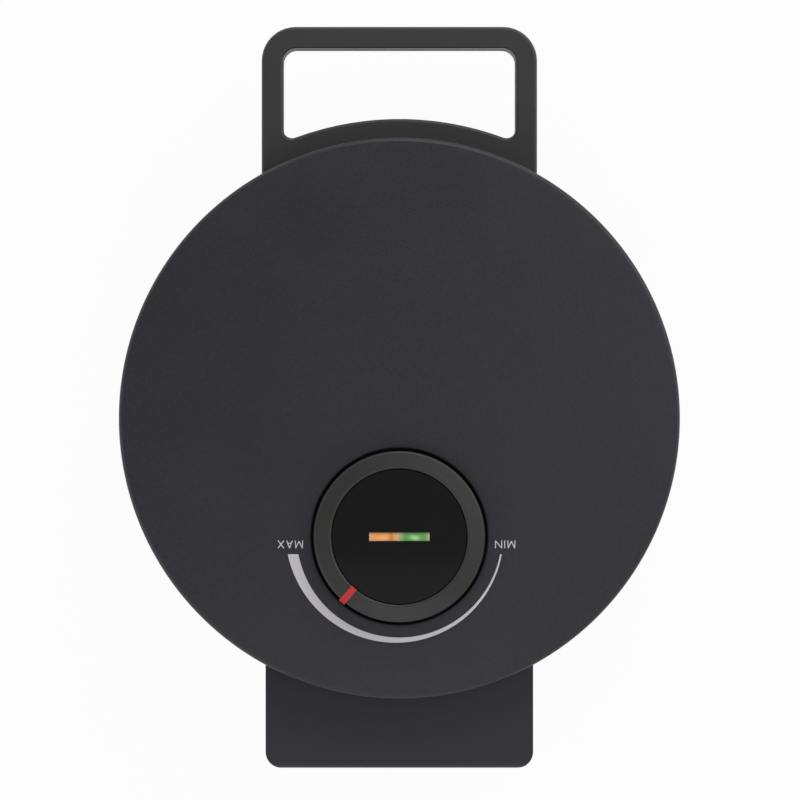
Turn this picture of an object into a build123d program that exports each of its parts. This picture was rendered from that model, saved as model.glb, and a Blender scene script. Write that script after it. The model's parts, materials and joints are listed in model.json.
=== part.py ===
"""Heart waffle maker: a round countertop cooker with a floating hinged lid.

Units are millimetres. +Z is up, -Y is the front with the handles, +Y is the hinge
end, and the origin is at the middle of the bottom of the closed appliance.
"""

import os
from math import asin, atan2, cos, radians, sin, sqrt

from build123d import *

os.makedirs("parts", exist_ok=True)

# Round body
BODY_R = 105.0
HANDLE_OUT = 42.5
TONGUE_OUT = 26.5
HANDLE_REACH = BODY_R + HANDLE_OUT
TONGUE_REACH = BODY_R + TONGUE_OUT
BODY_Y = (HANDLE_REACH - TONGUE_REACH) / 2
FRONT_Y = BODY_Y - HANDLE_REACH
REAR_Y = BODY_Y + TONGUE_REACH
SHELL_WALL = 2.5
FIT = 0.3
CONTACT = 0.05

# Heights
FOOT_H = 5.0
BASE_RIM_Z = 42.5
LOWER_RIM_Z = 44.0
PARTING_GAP = 0.4
UPPER_RIM_Z = LOWER_RIM_Z + PARTING_GAP
PARTING_Z = LOWER_RIM_Z + PARTING_GAP / 2
FRAME_RIM_Z = 45.5
SEAM_Z = 70.0
CROWN_Z = 86.0

# Baking plates: five hearts with their points at the centre
PLATE_INSET = 7.0
PLATE_R = BODY_R - PLATE_INSET
PLATE_EDGE_R = 2.0
CAVITY_DEPTH = 7.0
PLATE_WEB = 4.0
PLATE_RIM_W = 11.0
RECESS_R = PLATE_R - PLATE_RIM_W
RECESS_DEPTH = 1.2
HEARTS = 5
HEART_INSET = 4.0
HEART_REACH = RECESS_R - HEART_INSET
LOBE_TRIM = 0.75
LOBE_R = HEART_REACH / 4 - LOBE_TRIM
HEART_WEB = 1.2
NOTCH_R = 1.5
HEART_DRAFT = 1.4
BUMP_PITCH = 11.5
BUMP_W = 7.6
BUMP_H = 3.8
BUMP_DRAFT = 14.0
BUMP_MARGIN = 6.4
BUMP_FIRST_Y = 21.0
BUMP_ROWS = 6
BUMP_COLUMNS = 3

# Plate mountings
POST_INSET = 16.0
POST_R = PLATE_R - POST_INSET
POST_D = 10.0
BOSS_D = 9.0
MOUNT_ANGLES = (0, 90, 180, 270)
MOUNT_SCREW_D = 4.0
MOUNT_HEAD_D = 7.4
MOUNT_HEAD_H = 2.4
BASE_SCREW_L = 16.0
LID_SCREW_L = 11.0
HEAD_WELL_Z = 14.0
REFLECTOR_T = 0.6
REFLECTOR_INSET = 8.0
REFLECTOR_R = PLATE_R - REFLECTOR_INSET
REFLECTOR_LIP = 4.0
LOWER_REFLECTOR_Z = 22.0
UPPER_REFLECTOR_Z = 66.0

# Tubular heating elements
ELEMENT_D = 6.6
ELEMENT_INSET = 32.0
ELEMENT_R = PLATE_R - ELEMENT_INSET
ELEMENT_GAP_ANGLE = 135.0
ELEMENT_GAP_HALF = 24.0
ELEMENT_BEND = 9.0
ELEMENT_END_RUN = 17.0
ELEMENT_END_R = ELEMENT_R - ELEMENT_END_RUN
PIN_D = 2.4
PIN_L = 6.0
RIDGE_W = 2.0
RIDGE_H = 3.0
RIDGE_GAP = 0.4
CLAMP_ANGLES = (45, 225, 315)
CLAMP_T = 1.2
CLAMP_W = 11.0
CLAMP_SCREW_PITCH = 18.0
CLAMP_BOSS_D = 7.0
CLAMP_SCREW_D = 3.0
CLAMP_HEAD_D = 5.4
CLAMP_HEAD_H = 1.6
CLAMP_SCREW_L = 6.0

# Lid frame, cover and their snap hooks
RING_INSET = 1.5
RING_WALL = 2.5
RING_OUT = BODY_R - RING_INSET
RING_IN = RING_OUT - RING_WALL
LEDGE_Z = 67.0
SPIGOT_TOP_Z = 73.0
SPIGOT_WALL = 2.6
COVER_WALL = 2.5
SHOULDER_Z = 80.0
SHOULDER_FILLET = 1.8
SHOULDER_INNER_R = 0.6
ARM_W = 13.0
ARM_T = 2.5
HOOK_ANGLES = (45, 135, 225, 315)
HOOK_W = 10.0
HOOK_T = 2.0
HOOK_BARB = 1.3
HOOK_BARB_H = 2.5

# Handles
HANDLE_W = 103.8
HANDLE_H = 11.5
HANDLE_BAR = 8.1
HANDLE_CORNER_R = 12.8
HANDLE_INNER_R = 5.0
HANDLE_EDGE_R = 1.2
BAND_OUT = 7.8
BAND_R = BODY_R + BAND_OUT
BAND_CORNER_R = 3.4
UPPER_HANDLE_Z = FRAME_RIM_Z
LOWER_HANDLE_Z = BASE_RIM_Z - HANDLE_H

# Rear housing and floating hinge
TONGUE_W = 100.6
TONGUE_WALL = 2.5
TONGUE_SKIN = 3.0
TONGUE_TOP_Z = 64.0
TONGUE_FOOT_Z = 48.0
TONGUE_CORNER_R = 6.0
TONGUE_TOP_R = 1.5
TONGUE_INNER_R = 0.8
HINGE_BACK = 13.0
HINGE_Y = REAR_Y - HINGE_BACK
HINGE_Z = 46.0
HINGE_FLOAT = 3.0
HINGE_PIN_D = 5.0
HINGE_RUN = 0.1
KNUCKLE_R = 6.5
LID_KNUCKLE_R = 6.0
KNUCKLE_W = 8.0
LID_KNUCKLE_W = 12.0
KNUCKLE_GAP = 0.4
KNUCKLE_X = 15.0
CLIP_T = 0.8
CLIP_D = 9.0
CLIP_GAP = 0.2
CLIP_GROOVE = 0.5
PIN_TAIL = 1.0
PIN_HEAD_T = 1.5
HOUSING_W = 100.0
HOUSING_TOP_Z = 29.5
HOUSING_FLOOR_Z = FOOT_H
HOUSING_COVER_T = SHELL_WALL
HOUSING_EDGE_R = 1.5
STEP_TOP_Z = 38.0
STEP_W = 94.0
STEP_BACK = 1.3

# Control knob in its well
KNOB_FROM_EDGE = 60.9
KNOB_OFFSET = BODY_R - KNOB_FROM_EDGE
KNOB_Y = BODY_Y + KNOB_OFFSET
KNOB_R = 31.9
WELL_GAP = 0.9
WELL_R = KNOB_R + WELL_GAP
WELL_FLOOR_Z = 79.0
WELL_FLOOR_T = 2.5
CAP_R = 25.05
CAP_GAP = 0.3
KNOB_FOOT_Z = 79.6
KNOB_EDGE_Z = 90.9
KNOB_INNER_Z = 92.5
KNOB_WALL = 1.8
KNOB_EDGE_R = 0.9
KNOB_WEB_T = 2.6
KNOB_HUB_R = 6.5
KNOB_HUB_TOP_Z = 84.4
SLOT_IN_R = 10.0
SLOT_OUT_R = 22.5
WEB_HALF = 48.0
REST_ANGLE = 48.7
POINTER_W = 2.6
POINTER_PROUD = 0.35
POINTER_WRAP = 0.8
POINTER_INSET = 1.0
POINTER_FOOT_Z = 84.5
CAP_TOP_Z = 92.0
CAP_T = 2.0
CAP_DOME = 0.4
CAP_SKIRT_T = 1.6
CAP_SKIRT_Z = 88.2
LEG_IN_R = 12.8
LEG_OUT_R = 18.2
LEG_FROM = 16.0
LEG_TO = 40.0
LEG_FOOT_Z = 74.2
LEG_BARB = 1.0
LEG_BARB_H = 2.0
WINDOW_W = 22.5
WINDOW_H = 3.2
LEAD_X = 2.2
LEAD_D = 1.2
HOLDER_W = 26.0
HOLDER_D = 8.0
HOLDER_Z = 84.9
HOLDER_WALL = 1.0
LAMP_D = 3.6
LAMP_L = 9.5

# Thermostat on the back of the upper plate
STACK_X = 15.0
STACK_D = 8.0
STACK_RIVET_D = 3.0
STACK_HEAD_D = 5.2
STACK_HEAD_H = 1.2
BIMETAL_GAP = 2.0
LEAF_GAP = 2.4
STACK_FOOT_H = 1.6
BRACKET_T = 1.0
BRACKET_X0 = -8.0
BRACKET_X1 = 22.0
BRACKET_W = 14.0
PAD_H = 1.0
BRACKET_TOP_Z = 73.0
BRACKET_SCREW_X = 2.0
BRACKET_SCREW_Y = 5.0
BRACKET_SCREW_D = 2.5
BRACKET_SCREW_L = 4.0
BRACKET_HEAD_D = 3.8
BRACKET_HEAD_H = 1.3
BUSH_D = 9.0
BUSH_H = 2.2
SPINDLE_D = 6.0
SPINDLE_HOLE_D = 8.4
SPINDLE_FLAT = 2.2
SPINDLE_THREAD_D = 5.0
SPINDLE_TIP_D = 2.4
SPINDLE_TOP_Z = 83.4
SOCKET_TOP_Z = 83.6
SPRING_T = 0.4
STRIP_W = 6.0
LEAF_TIP_X = -5.0
TAB_Y = 13.0
STRIP_T = 0.4
BIMETAL_T = 0.8
CONTACT_D = 3.0
CONTACT_H = 1.0
FUSE_D = 4.0
FUSE_L = 12.0
FUSE_X = -9.0
FUSE_FROM_KNOB = 24.1
FUSE_Y = KNOB_Y - FUSE_FROM_KNOB
FUSE_EAR = 5.5
FUSE_CLIP_T = 0.8
FUSE_CLIP_W = 5.0
FUSE_RIVET_D = 2.4
FUSE_RIVET_HEAD_D = 4.0

# Bowl of the base
BASE_INSET = 1.0
BASE_R = BODY_R - BASE_INSET
BOWL_CURVE = 14.0
FLOOR_R = BASE_R - BOWL_CURVE

# Electrical pieces in the rear housing
FLEX_D = 4.4
WIRE_D = 1.9
FLEX_OUT = 9.0
FLEX_Z = 58.4
GLAND_D = 10.0
GLAND_FLANGE_D = 13.4
GLAND_FLANGE_T = 2.0
GLAND_L = 8.0
GLAND_BORE = 7.2
GLAND_BACK = 13.5
GLAND_Y = REAR_Y - GLAND_BACK
GLAND_Z = 19.5
BLOCK_W = 24.0
BLOCK_D = 10.0
BLOCK_H = 9.0
BLOCK_X = 26.0
BLOCK_GAP = 5.0
BLOCK_Y = BODY_Y + BASE_R + BLOCK_GAP + BLOCK_D / 2
TERMINAL_D = 5.0
BLOCK_ROOF_T = 3.0
WIRE_X = 2.5
PASS_Z = 19.5
WIRE_TURN = 14.0
FLEX_INSET = 9.0
COVER_SCREW_X = 30.0
COVER_BOSS_D = 7.0
COVER_SCREW_L = 9.0

# Feet
FOOT_INSET = 26.0
FOOT_R = BASE_R - FOOT_INSET
FOOT_D = 16.0
FOOT_TIP_D = 13.0
FOOT_STEM_D = 6.0
FOOT_BULB_D = 8.0
FOOT_ANGLES = (225, 315)
REAR_FOOT_X = 38.0
REAR_FOOT_BACK = 14.5
REAR_FOOT_Y = REAR_Y - REAR_FOOT_BACK
BOWL_SIDE_Z = 22.0

PLATE_BACK_Z = UPPER_RIM_Z + CAVITY_DEPTH + PLATE_WEB
LOWER_BACK_Z = LOWER_RIM_Z - CAVITY_DEPTH - PLATE_WEB
ELEMENT_Z = PLATE_BACK_Z + CONTACT + ELEMENT_D / 2
CLAMP_Z = PLATE_BACK_Z + CONTACT + ELEMENT_D + CONTACT
PARTING_PLANE = Plane.XY.offset(PARTING_Z)


def at_body(z):
    """Horizontal plane at height z with its origin on the axis of the round body."""
    return Plane((0, BODY_Y, z))


def at_knob(z):
    """Horizontal plane at height z with its origin on the knob's axis."""
    return Plane((0, KNOB_Y, z))


def side_plane(x):
    """Upright plane across X: local x runs along +Y and local y along +Z."""
    return Plane(origin=(x, 0, 0), x_dir=(0, 1, 0), z_dir=(1, 0, 0))


def radial_section(angle, y=BODY_Y):
    """Upright plane through a vertical axis: local x runs outwards, local y along +Z."""
    a = radians(angle)
    return Plane(origin=(0, y, 0), x_dir=(cos(a), sin(a), 0), z_dir=(sin(a), -cos(a), 0))


def axis_at(y):
    """Vertical axis through (0, y)."""
    return Axis((0, y, 0), (0, 0, 1))


def ring_points(radius, angles, y=BODY_Y):
    """Points at the given angles on a circle about the vertical axis through (0, y)."""
    return [(radius * cos(radians(a)), y + radius * sin(radians(a))) for a in angles]


def keep(piece, name):
    """Label a finished piece and write its STEP file."""
    piece.part.label = name
    export_step(piece.part, f"parts/{name}.step")


def revolved(points, y=BODY_Y):
    """Solid of revolution about the vertical axis through (0, y) from (radius, z) points."""
    with BuildPart() as turned:
        with BuildSketch(radial_section(0, y)):
            with BuildLine():
                Polyline(*points, close=True)
            make_face()
        revolve(axis=axis_at(y))
    return turned.part


def tube(diameter, points, radii):
    """Round wire or tube along straight runs joined by tangent arcs."""
    with BuildPart() as swept:
        with BuildLine() as path:
            if radii:
                FilletPolyline(*points, radius=radii)
            else:
                Polyline(*points)
        start = Plane(origin=path.line @ 0, z_dir=path.line % 0)
        with BuildSketch(start):
            Circle(diameter / 2)
        sweep(path=path.line)
    return swept.part


def screw(diameter, length, head_d, head_h, base, up):
    """Pan-head screw whose head seats at base and whose shank runs up (+1) or down (-1)."""
    with BuildPart() as fastener:
        with BuildSketch(Plane(base)):
            Circle(diameter / 2)
        extrude(amount=up * length)
        with BuildSketch(Plane(base)):
            Circle(head_d / 2)
        extrude(amount=-up * head_h)
        rim = fastener.edges().filter_by(GeomType.CIRCLE).sort_by(Axis.Z)
        fillet(rim[0 if up > 0 else -1], head_h * 0.4)
    return fastener.part


# Handle loop: a rounded frame with a finger opening that ends in an arc about the body
with BuildSketch() as finger_opening:
    with Locations((0, FRONT_Y + HANDLE_BAR + BODY_R / 2)):
        Rectangle(HANDLE_W - 2 * HANDLE_BAR, BODY_R)
    with Locations((0, BODY_Y)):
        Circle(BAND_R, mode=Mode.SUBTRACT)
    fillet(finger_opening.vertices().group_by(Axis.Y)[0], HANDLE_INNER_R)
    fillet(finger_opening.vertices().group_by(Axis.Y)[-1], BAND_CORNER_R)


def handle_loop(bottom, narrower):
    """Handle frame from the front bar back to the body, with rounded edges."""
    with BuildPart() as loop:
        with BuildSketch(Plane.XY.offset(bottom)):
            with Locations((0, (FRONT_Y + narrower + BODY_Y) / 2)):
                RectangleRounded(
                    HANDLE_W - 2 * narrower,
                    BODY_Y - FRONT_Y - narrower,
                    HANDLE_CORNER_R,
                )
            add(finger_opening.sketch, mode=Mode.SUBTRACT)
        extrude(amount=HANDLE_H)
        flat = loop.faces().filter_by(Axis.Z)
        fillet(flat.edges(), HANDLE_EDGE_R)
    return loop.part


# Base shell: a bowl with the lower handle, the hinge housing and the hinge knuckles
with BuildPart() as bowl:
    with BuildSketch(radial_section(0)):
        with BuildLine() as bowl_line:
            Line((0, FOOT_H), (FLOOR_R, FOOT_H))
            EllipticalCenterArc(
                (FLOOR_R, BOWL_SIDE_Z),
                BOWL_CURVE,
                BOWL_SIDE_Z - FOOT_H,
                270,
                arc_size=90,
            )
            Line((BASE_R, BOWL_SIDE_Z), (BASE_R, BASE_RIM_Z))
            Line((BASE_R, BASE_RIM_Z), (0, BASE_RIM_Z))
            Line((0, BASE_RIM_Z), (0, FOOT_H))
        make_face()
    revolve(axis=axis_at(BODY_Y))

BASE_IN_R = BASE_R - SHELL_WALL
FLOOR_TOP_Z = FOOT_H + SHELL_WALL
with BuildPart() as bowl_hollow:
    with BuildSketch(radial_section(0)):
        with BuildLine():
            Line((0, FLOOR_TOP_Z), (FLOOR_R, FLOOR_TOP_Z))
            EllipticalCenterArc(
                (FLOOR_R, BOWL_SIDE_Z),
                BASE_IN_R - FLOOR_R,
                BOWL_SIDE_Z - FLOOR_TOP_Z,
                270,
                arc_size=90,
            )
            Line((BASE_IN_R, BOWL_SIDE_Z), (BASE_IN_R, BASE_RIM_Z + 1))
            Line((BASE_IN_R, BASE_RIM_Z + 1), (0, BASE_RIM_Z + 1))
            Line((0, BASE_RIM_Z + 1), (0, FLOOR_TOP_Z))
        make_face()
    revolve(axis=axis_at(BODY_Y))


def knuckle_spans(first, width):
    """X spans of one knuckle on each side of the middle."""
    return ((first, first + width), (-first - width, -first))


INNER_KNUCKLES = knuckle_spans(KNUCKLE_X, KNUCKLE_W)
LID_KNUCKLE_X = KNUCKLE_X + KNUCKLE_W + KNUCKLE_GAP
LID_KNUCKLES = knuckle_spans(LID_KNUCKLE_X, LID_KNUCKLE_W)
OUTER_KNUCKLE_X = LID_KNUCKLE_X + LID_KNUCKLE_W + KNUCKLE_GAP
OUTER_KNUCKLES = knuckle_spans(OUTER_KNUCKLE_X, KNUCKLE_W)
HINGE_END_X = OUTER_KNUCKLE_X + KNUCKLE_W

FRONT_FEET = ring_points(FOOT_R, FOOT_ANGLES)
REAR_FEET = [(side * REAR_FOOT_X, REAR_FOOT_Y) for side in (1, -1)]
COVER_SCREW_POINTS = [
    (side * COVER_SCREW_X, REAR_Y - SHELL_WALL - COVER_BOSS_D / 2 + CONTACT)
    for side in (1, -1)
]
HOLLOW_Y0 = BODY_Y + BASE_R
HOLLOW_Y1 = REAR_Y - SHELL_WALL
with BuildPart() as base_shell:
    add(bowl.part)
    add(handle_loop(LOWER_HANDLE_Z, FIT))
    # Rear housing, with a raised step in front of the hinge
    with BuildSketch(Plane.XY.offset(HOUSING_FLOOR_Z)):
        with Locations((0, (BODY_Y + REAR_Y) / 2)):
            RectangleRounded(HOUSING_W, TONGUE_REACH, TONGUE_CORNER_R)
    extrude(amount=HOUSING_TOP_Z - HOUSING_FLOOR_Z)
    fillet(base_shell.edges().filter_by(Axis.X).sort_by(Axis.Y)[-1], HOUSING_EDGE_R)
    with BuildSketch(side_plane(-STEP_W / 2)):
        with Locations((BODY_Y, HOUSING_TOP_Z - SHELL_WALL)):
            Rectangle(
                HINGE_Y - STEP_BACK - BODY_Y,
                STEP_TOP_Z - HOUSING_TOP_Z + SHELL_WALL,
                align=(Align.MIN, Align.MIN),
            )
    extrude(amount=STEP_W)
    split(bisect_by=Plane.XY.offset(FOOT_H), keep=Keep.TOP)
    add(bowl_hollow.part, mode=Mode.SUBTRACT)
    # Hollow of the rear housing, open below for its cover
    with BuildSketch(Plane.XY.offset(HOUSING_FLOOR_Z)):
        with Locations((0, (HOLLOW_Y0 + HOLLOW_Y1) / 2)):
            Rectangle(HOUSING_W - 2 * SHELL_WALL, HOLLOW_Y1 - HOLLOW_Y0)
        with Locations((0, BODY_Y)):
            Circle(BASE_R, mode=Mode.SUBTRACT)
    extrude(amount=HOUSING_TOP_Z - SHELL_WALL - HOUSING_FLOOR_Z, mode=Mode.SUBTRACT)
    # Knuckles: necks rise from the step, and slots let the hinge pins float upwards
    for x0, x1 in INNER_KNUCKLES + OUTER_KNUCKLES:
        with BuildSketch(side_plane(x0)):
            with Locations((HINGE_Y, HINGE_Z), (HINGE_Y, HINGE_Z + HINGE_FLOAT)):
                Circle(KNUCKLE_R)
            with Locations((HINGE_Y, HINGE_Z + HINGE_FLOAT / 2)):
                Rectangle(2 * KNUCKLE_R, HINGE_FLOAT)
            with Locations((HINGE_Y - (KNUCKLE_R + STEP_BACK) / 2, (STEP_TOP_Z + HINGE_Z) / 2 - 1)):
                Rectangle(KNUCKLE_R - STEP_BACK, HINGE_Z - STEP_TOP_Z + 2)
        extrude(amount=x1 - x0)
        with BuildSketch(side_plane(x0)):
            with Locations((HINGE_Y, HINGE_Z), (HINGE_Y, HINGE_Z + HINGE_FLOAT)):
                Circle(HINGE_PIN_D / 2 + HINGE_RUN)
            with Locations((HINGE_Y, HINGE_Z + HINGE_FLOAT / 2)):
                Rectangle(HINGE_PIN_D + 2 * HINGE_RUN, HINGE_FLOAT)
        extrude(amount=x1 - x0, mode=Mode.SUBTRACT)
    # Screw posts under the plate, with deep wells for the heads
    with BuildSketch(Plane.XY.offset(FLOOR_TOP_Z - 1)):
        with Locations(*ring_points(POST_R, MOUNT_ANGLES)):
            Circle(POST_D / 2)
    extrude(amount=LOWER_REFLECTOR_Z - FLOOR_TOP_Z + 1)
    with BuildSketch(Plane.XY.offset(FOOT_H)):
        with Locations(*ring_points(POST_R, MOUNT_ANGLES)):
            Circle(MOUNT_SCREW_D / 2 + FIT)
    extrude(amount=LOWER_REFLECTOR_Z - FOOT_H, mode=Mode.SUBTRACT)
    with BuildSketch(Plane.XY.offset(FOOT_H)):
        with Locations(*ring_points(POST_R, MOUNT_ANGLES)):
            Circle(MOUNT_HEAD_D / 2 + FIT)
    extrude(amount=HEAD_WELL_Z - FOOT_H, mode=Mode.SUBTRACT)
    # Holes for the stems of the feet
    with BuildSketch(Plane.XY.offset(FOOT_H)):
        with Locations(*FRONT_FEET):
            Circle(FOOT_STEM_D / 2 + CONTACT)
    extrude(amount=SHELL_WALL, mode=Mode.SUBTRACT)
    # Seat and hole of the cord gland in the side wall of the housing
    gland_wall = Plane(origin=(-HOUSING_W / 2, GLAND_Y, GLAND_Z), x_dir=(0, 1, 0), z_dir=(1, 0, 0))
    with BuildSketch(gland_wall.offset(SHELL_WALL - 1)):
        Circle(GLAND_FLANGE_D / 2 + 1)
    extrude(amount=GLAND_FLANGE_T + 1)
    with BuildSketch(gland_wall):
        Circle(GLAND_FLANGE_D / 2 + CONTACT)
    extrude(amount=GLAND_FLANGE_T, mode=Mode.SUBTRACT)
    with BuildSketch(gland_wall):
        Circle(GLAND_D / 2 + CONTACT)
    extrude(amount=GLAND_L, mode=Mode.SUBTRACT)
    # Way of the leads from the hinge into the housing, and from the housing into the bowl
    with BuildSketch(Plane.XY.offset(HOUSING_TOP_Z - 2 * SHELL_WALL)):
        with Locations((-FLEX_OUT, HINGE_Y - KNUCKLE_R - 1)):
            Circle(FLEX_D / 2 + FIT)
    extrude(amount=STEP_TOP_Z - HOUSING_TOP_Z + 2 * SHELL_WALL, mode=Mode.SUBTRACT)
    with BuildSketch(Plane.XZ.offset(-HOLLOW_Y0 - 2)):
        with Locations((BLOCK_X, PASS_Z)):
            SlotOverall(2 * WIRE_X + 2 * WIRE_D, 1.6 * WIRE_D)
    extrude(amount=5 * SHELL_WALL, mode=Mode.SUBTRACT)
    # Bosses for the screws of the housing's cover
    with BuildSketch(Plane.XY.offset(HOUSING_FLOOR_Z + HOUSING_COVER_T)):
        with Locations(*COVER_SCREW_POINTS):
            Circle(COVER_BOSS_D / 2)
    extrude(amount=HOUSING_TOP_Z - SHELL_WALL - HOUSING_FLOOR_Z - HOUSING_COVER_T)
    with BuildSketch(Plane.XY.offset(HOUSING_FLOOR_Z + HOUSING_COVER_T)):
        with Locations(*COVER_SCREW_POINTS):
            Circle(CLAMP_SCREW_D / 2 + CONTACT)
    extrude(amount=COVER_SCREW_L, mode=Mode.SUBTRACT)
keep(base_shell, "base_shell")

# Rubber feet, each with a stem and a bulb that snaps through the floor
FOOT_BULB_Z = FLOOR_TOP_Z + FIT
foot_profile = [
    (0, 0),
    (FOOT_TIP_D / 2, 0),
    (FOOT_D / 2, FOOT_H),
    (FOOT_STEM_D / 2, FOOT_H),
    (FOOT_STEM_D / 2, FOOT_BULB_Z),
    (FOOT_BULB_D / 2, FOOT_BULB_Z),
    (FOOT_STEM_D / 2 - 1, FOOT_BULB_Z + 3),
    (0, FOOT_BULB_Z + 3),
]
one_foot = revolved(foot_profile, 0)
with BuildPart() as rubber_feet:
    with Locations(*(FRONT_FEET + REAR_FEET)):
        add(one_foot)
keep(rubber_feet, "rubber_feet")

# Bottom cover of the rear housing, in a rebate between the housing's walls
with BuildPart() as hinge_housing_cover:
    with BuildSketch(Plane.XY.offset(HOUSING_FLOOR_Z)):
        with Locations((0, (HOLLOW_Y0 + HOLLOW_Y1) / 2)):
            Rectangle(HOUSING_W - 2 * SHELL_WALL - 2 * FIT, HOLLOW_Y1 - HOLLOW_Y0 - 2 * FIT)
        with Locations((0, BODY_Y)):
            Circle(BASE_R + FIT, mode=Mode.SUBTRACT)
        with Locations(*COVER_SCREW_POINTS):
            Circle(CLAMP_SCREW_D / 2 + FIT, mode=Mode.SUBTRACT)
        with Locations(*REAR_FEET):
            Circle(FOOT_STEM_D / 2 + CONTACT, mode=Mode.SUBTRACT)
    extrude(amount=HOUSING_COVER_T)
keep(hinge_housing_cover, "hinge_housing_cover")

with BuildPart() as housing_cover_screws:
    for x, y in COVER_SCREW_POINTS:
        base = (x, y, HOUSING_FLOOR_Z)
        add(screw(CLAMP_SCREW_D, COVER_SCREW_L, CLAMP_HEAD_D, CLAMP_HEAD_H, base, 1))
keep(housing_cover_screws, "housing_cover_screws")

# Rubber gland of the mains cord, flush in the side wall of the housing
with BuildPart() as cord_gland:
    with BuildSketch(gland_wall):
        Circle(GLAND_FLANGE_D / 2)
    extrude(amount=GLAND_FLANGE_T - CONTACT)
    with BuildSketch(gland_wall):
        Circle(GLAND_D / 2)
    extrude(amount=GLAND_L)
    with BuildSketch(gland_wall):
        Circle(GLAND_BORE / 2)
    extrude(amount=GLAND_L, mode=Mode.SUBTRACT)
keep(cord_gland, "cord_gland")

# Terminal block under the housing's ceiling, with three screw wells
CEILING_Z = HOUSING_TOP_Z - SHELL_WALL
BLOCK_FOOT_Z = CEILING_Z - BLOCK_H
TERMINAL_POINTS = [(BLOCK_X + step * BLOCK_W / 3, BLOCK_Y) for step in (-1, 0, 1)]
with BuildPart() as terminal_block:
    with BuildSketch(Plane.XY.offset(BLOCK_FOOT_Z)):
        with Locations((BLOCK_X, BLOCK_Y)):
            RectangleRounded(BLOCK_W, BLOCK_D, 1)
    extrude(amount=BLOCK_H)
    with BuildSketch(Plane.XY.offset(BLOCK_FOOT_Z)):
        with Locations(*TERMINAL_POINTS):
            Circle(TERMINAL_D / 2)
    extrude(amount=BLOCK_H - BLOCK_ROOF_T, mode=Mode.SUBTRACT)
keep(terminal_block, "terminal_block")

with BuildPart() as terminal_screws:
    with BuildSketch(Plane.XY.offset(BLOCK_FOOT_Z + 1)):
        with Locations(*TERMINAL_POINTS):
            Circle(TERMINAL_D / 2 - CONTACT)
    extrude(amount=BLOCK_H - BLOCK_ROOF_T - 1)
keep(terminal_screws, "terminal_screws")


def heart(inset):
    """One heart with its point at the origin's side of +Y, drawn in by the given inset."""
    half = radians(180 / HEARTS)
    grown = LOBE_R + NOTCH_R
    reach = HEART_REACH - LOBE_R
    lean = half - asin((grown + HEART_WEB - NOTCH_R) / reach)
    cx = reach * sin(lean)
    cy = reach * cos(lean)
    notch_y = cy + sqrt(grown**2 - cx**2)
    lobe = LOBE_R - inset
    to_notch = atan2(notch_y - cy, -cx)
    middle = (to_notch - half) / 2
    side_end = (cx + lobe * cos(half), cy - lobe * sin(half))
    lobe_end = (cx + lobe * cos(to_notch), cy + lobe * sin(to_notch))
    with BuildSketch() as outline:
        with BuildLine():
            Line((0, (HEART_WEB + inset) / sin(half)), side_end)
            ThreePointArc(side_end, (cx + lobe * cos(middle), cy + lobe * sin(middle)), lobe_end)
            RadiusArc(lobe_end, (0, notch_y - NOTCH_R - inset), NOTCH_R + inset)
            mirror(about=Plane.YZ)
        make_face()
    return outline.sketch


def inside_heart(x, y, margin):
    """True where (x, y) lies in the heart and at least margin from its outline."""
    half = radians(180 / HEARTS)
    reach = HEART_REACH - LOBE_R
    lean = half - asin((LOBE_R + HEART_WEB) / reach)
    cx = reach * sin(lean)
    cy = reach * cos(lean)
    tip = HEART_WEB / sin(half)
    along = abs(x) * sin(half) + (y - tip) * cos(half)
    lobe_along = cx * sin(half) + (cy - tip) * cos(half)
    if along < lobe_along:
        return (y - tip) * sin(half) - abs(x) * cos(half) >= margin
    return sqrt((abs(x) - cx) ** 2 + (y - cy) ** 2) <= LOBE_R - margin


def heart_plane(index, z):
    """Plane of one heart: its point is at the body axis and local +Y runs outwards."""
    a = radians(-90 + index * 360 / HEARTS)
    return Plane(origin=(0, BODY_Y, z), x_dir=(sin(a), -cos(a), 0), z_dir=(0, 0, 1))


BUMP_POINTS = [
    (column * BUMP_PITCH, BUMP_FIRST_Y + row * BUMP_PITCH)
    for column in range(-BUMP_COLUMNS, BUMP_COLUMNS + 1)
    for row in range(BUMP_ROWS)
    if inside_heart(column * BUMP_PITCH, BUMP_FIRST_Y + row * BUMP_PITCH, BUMP_MARGIN)
]

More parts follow.
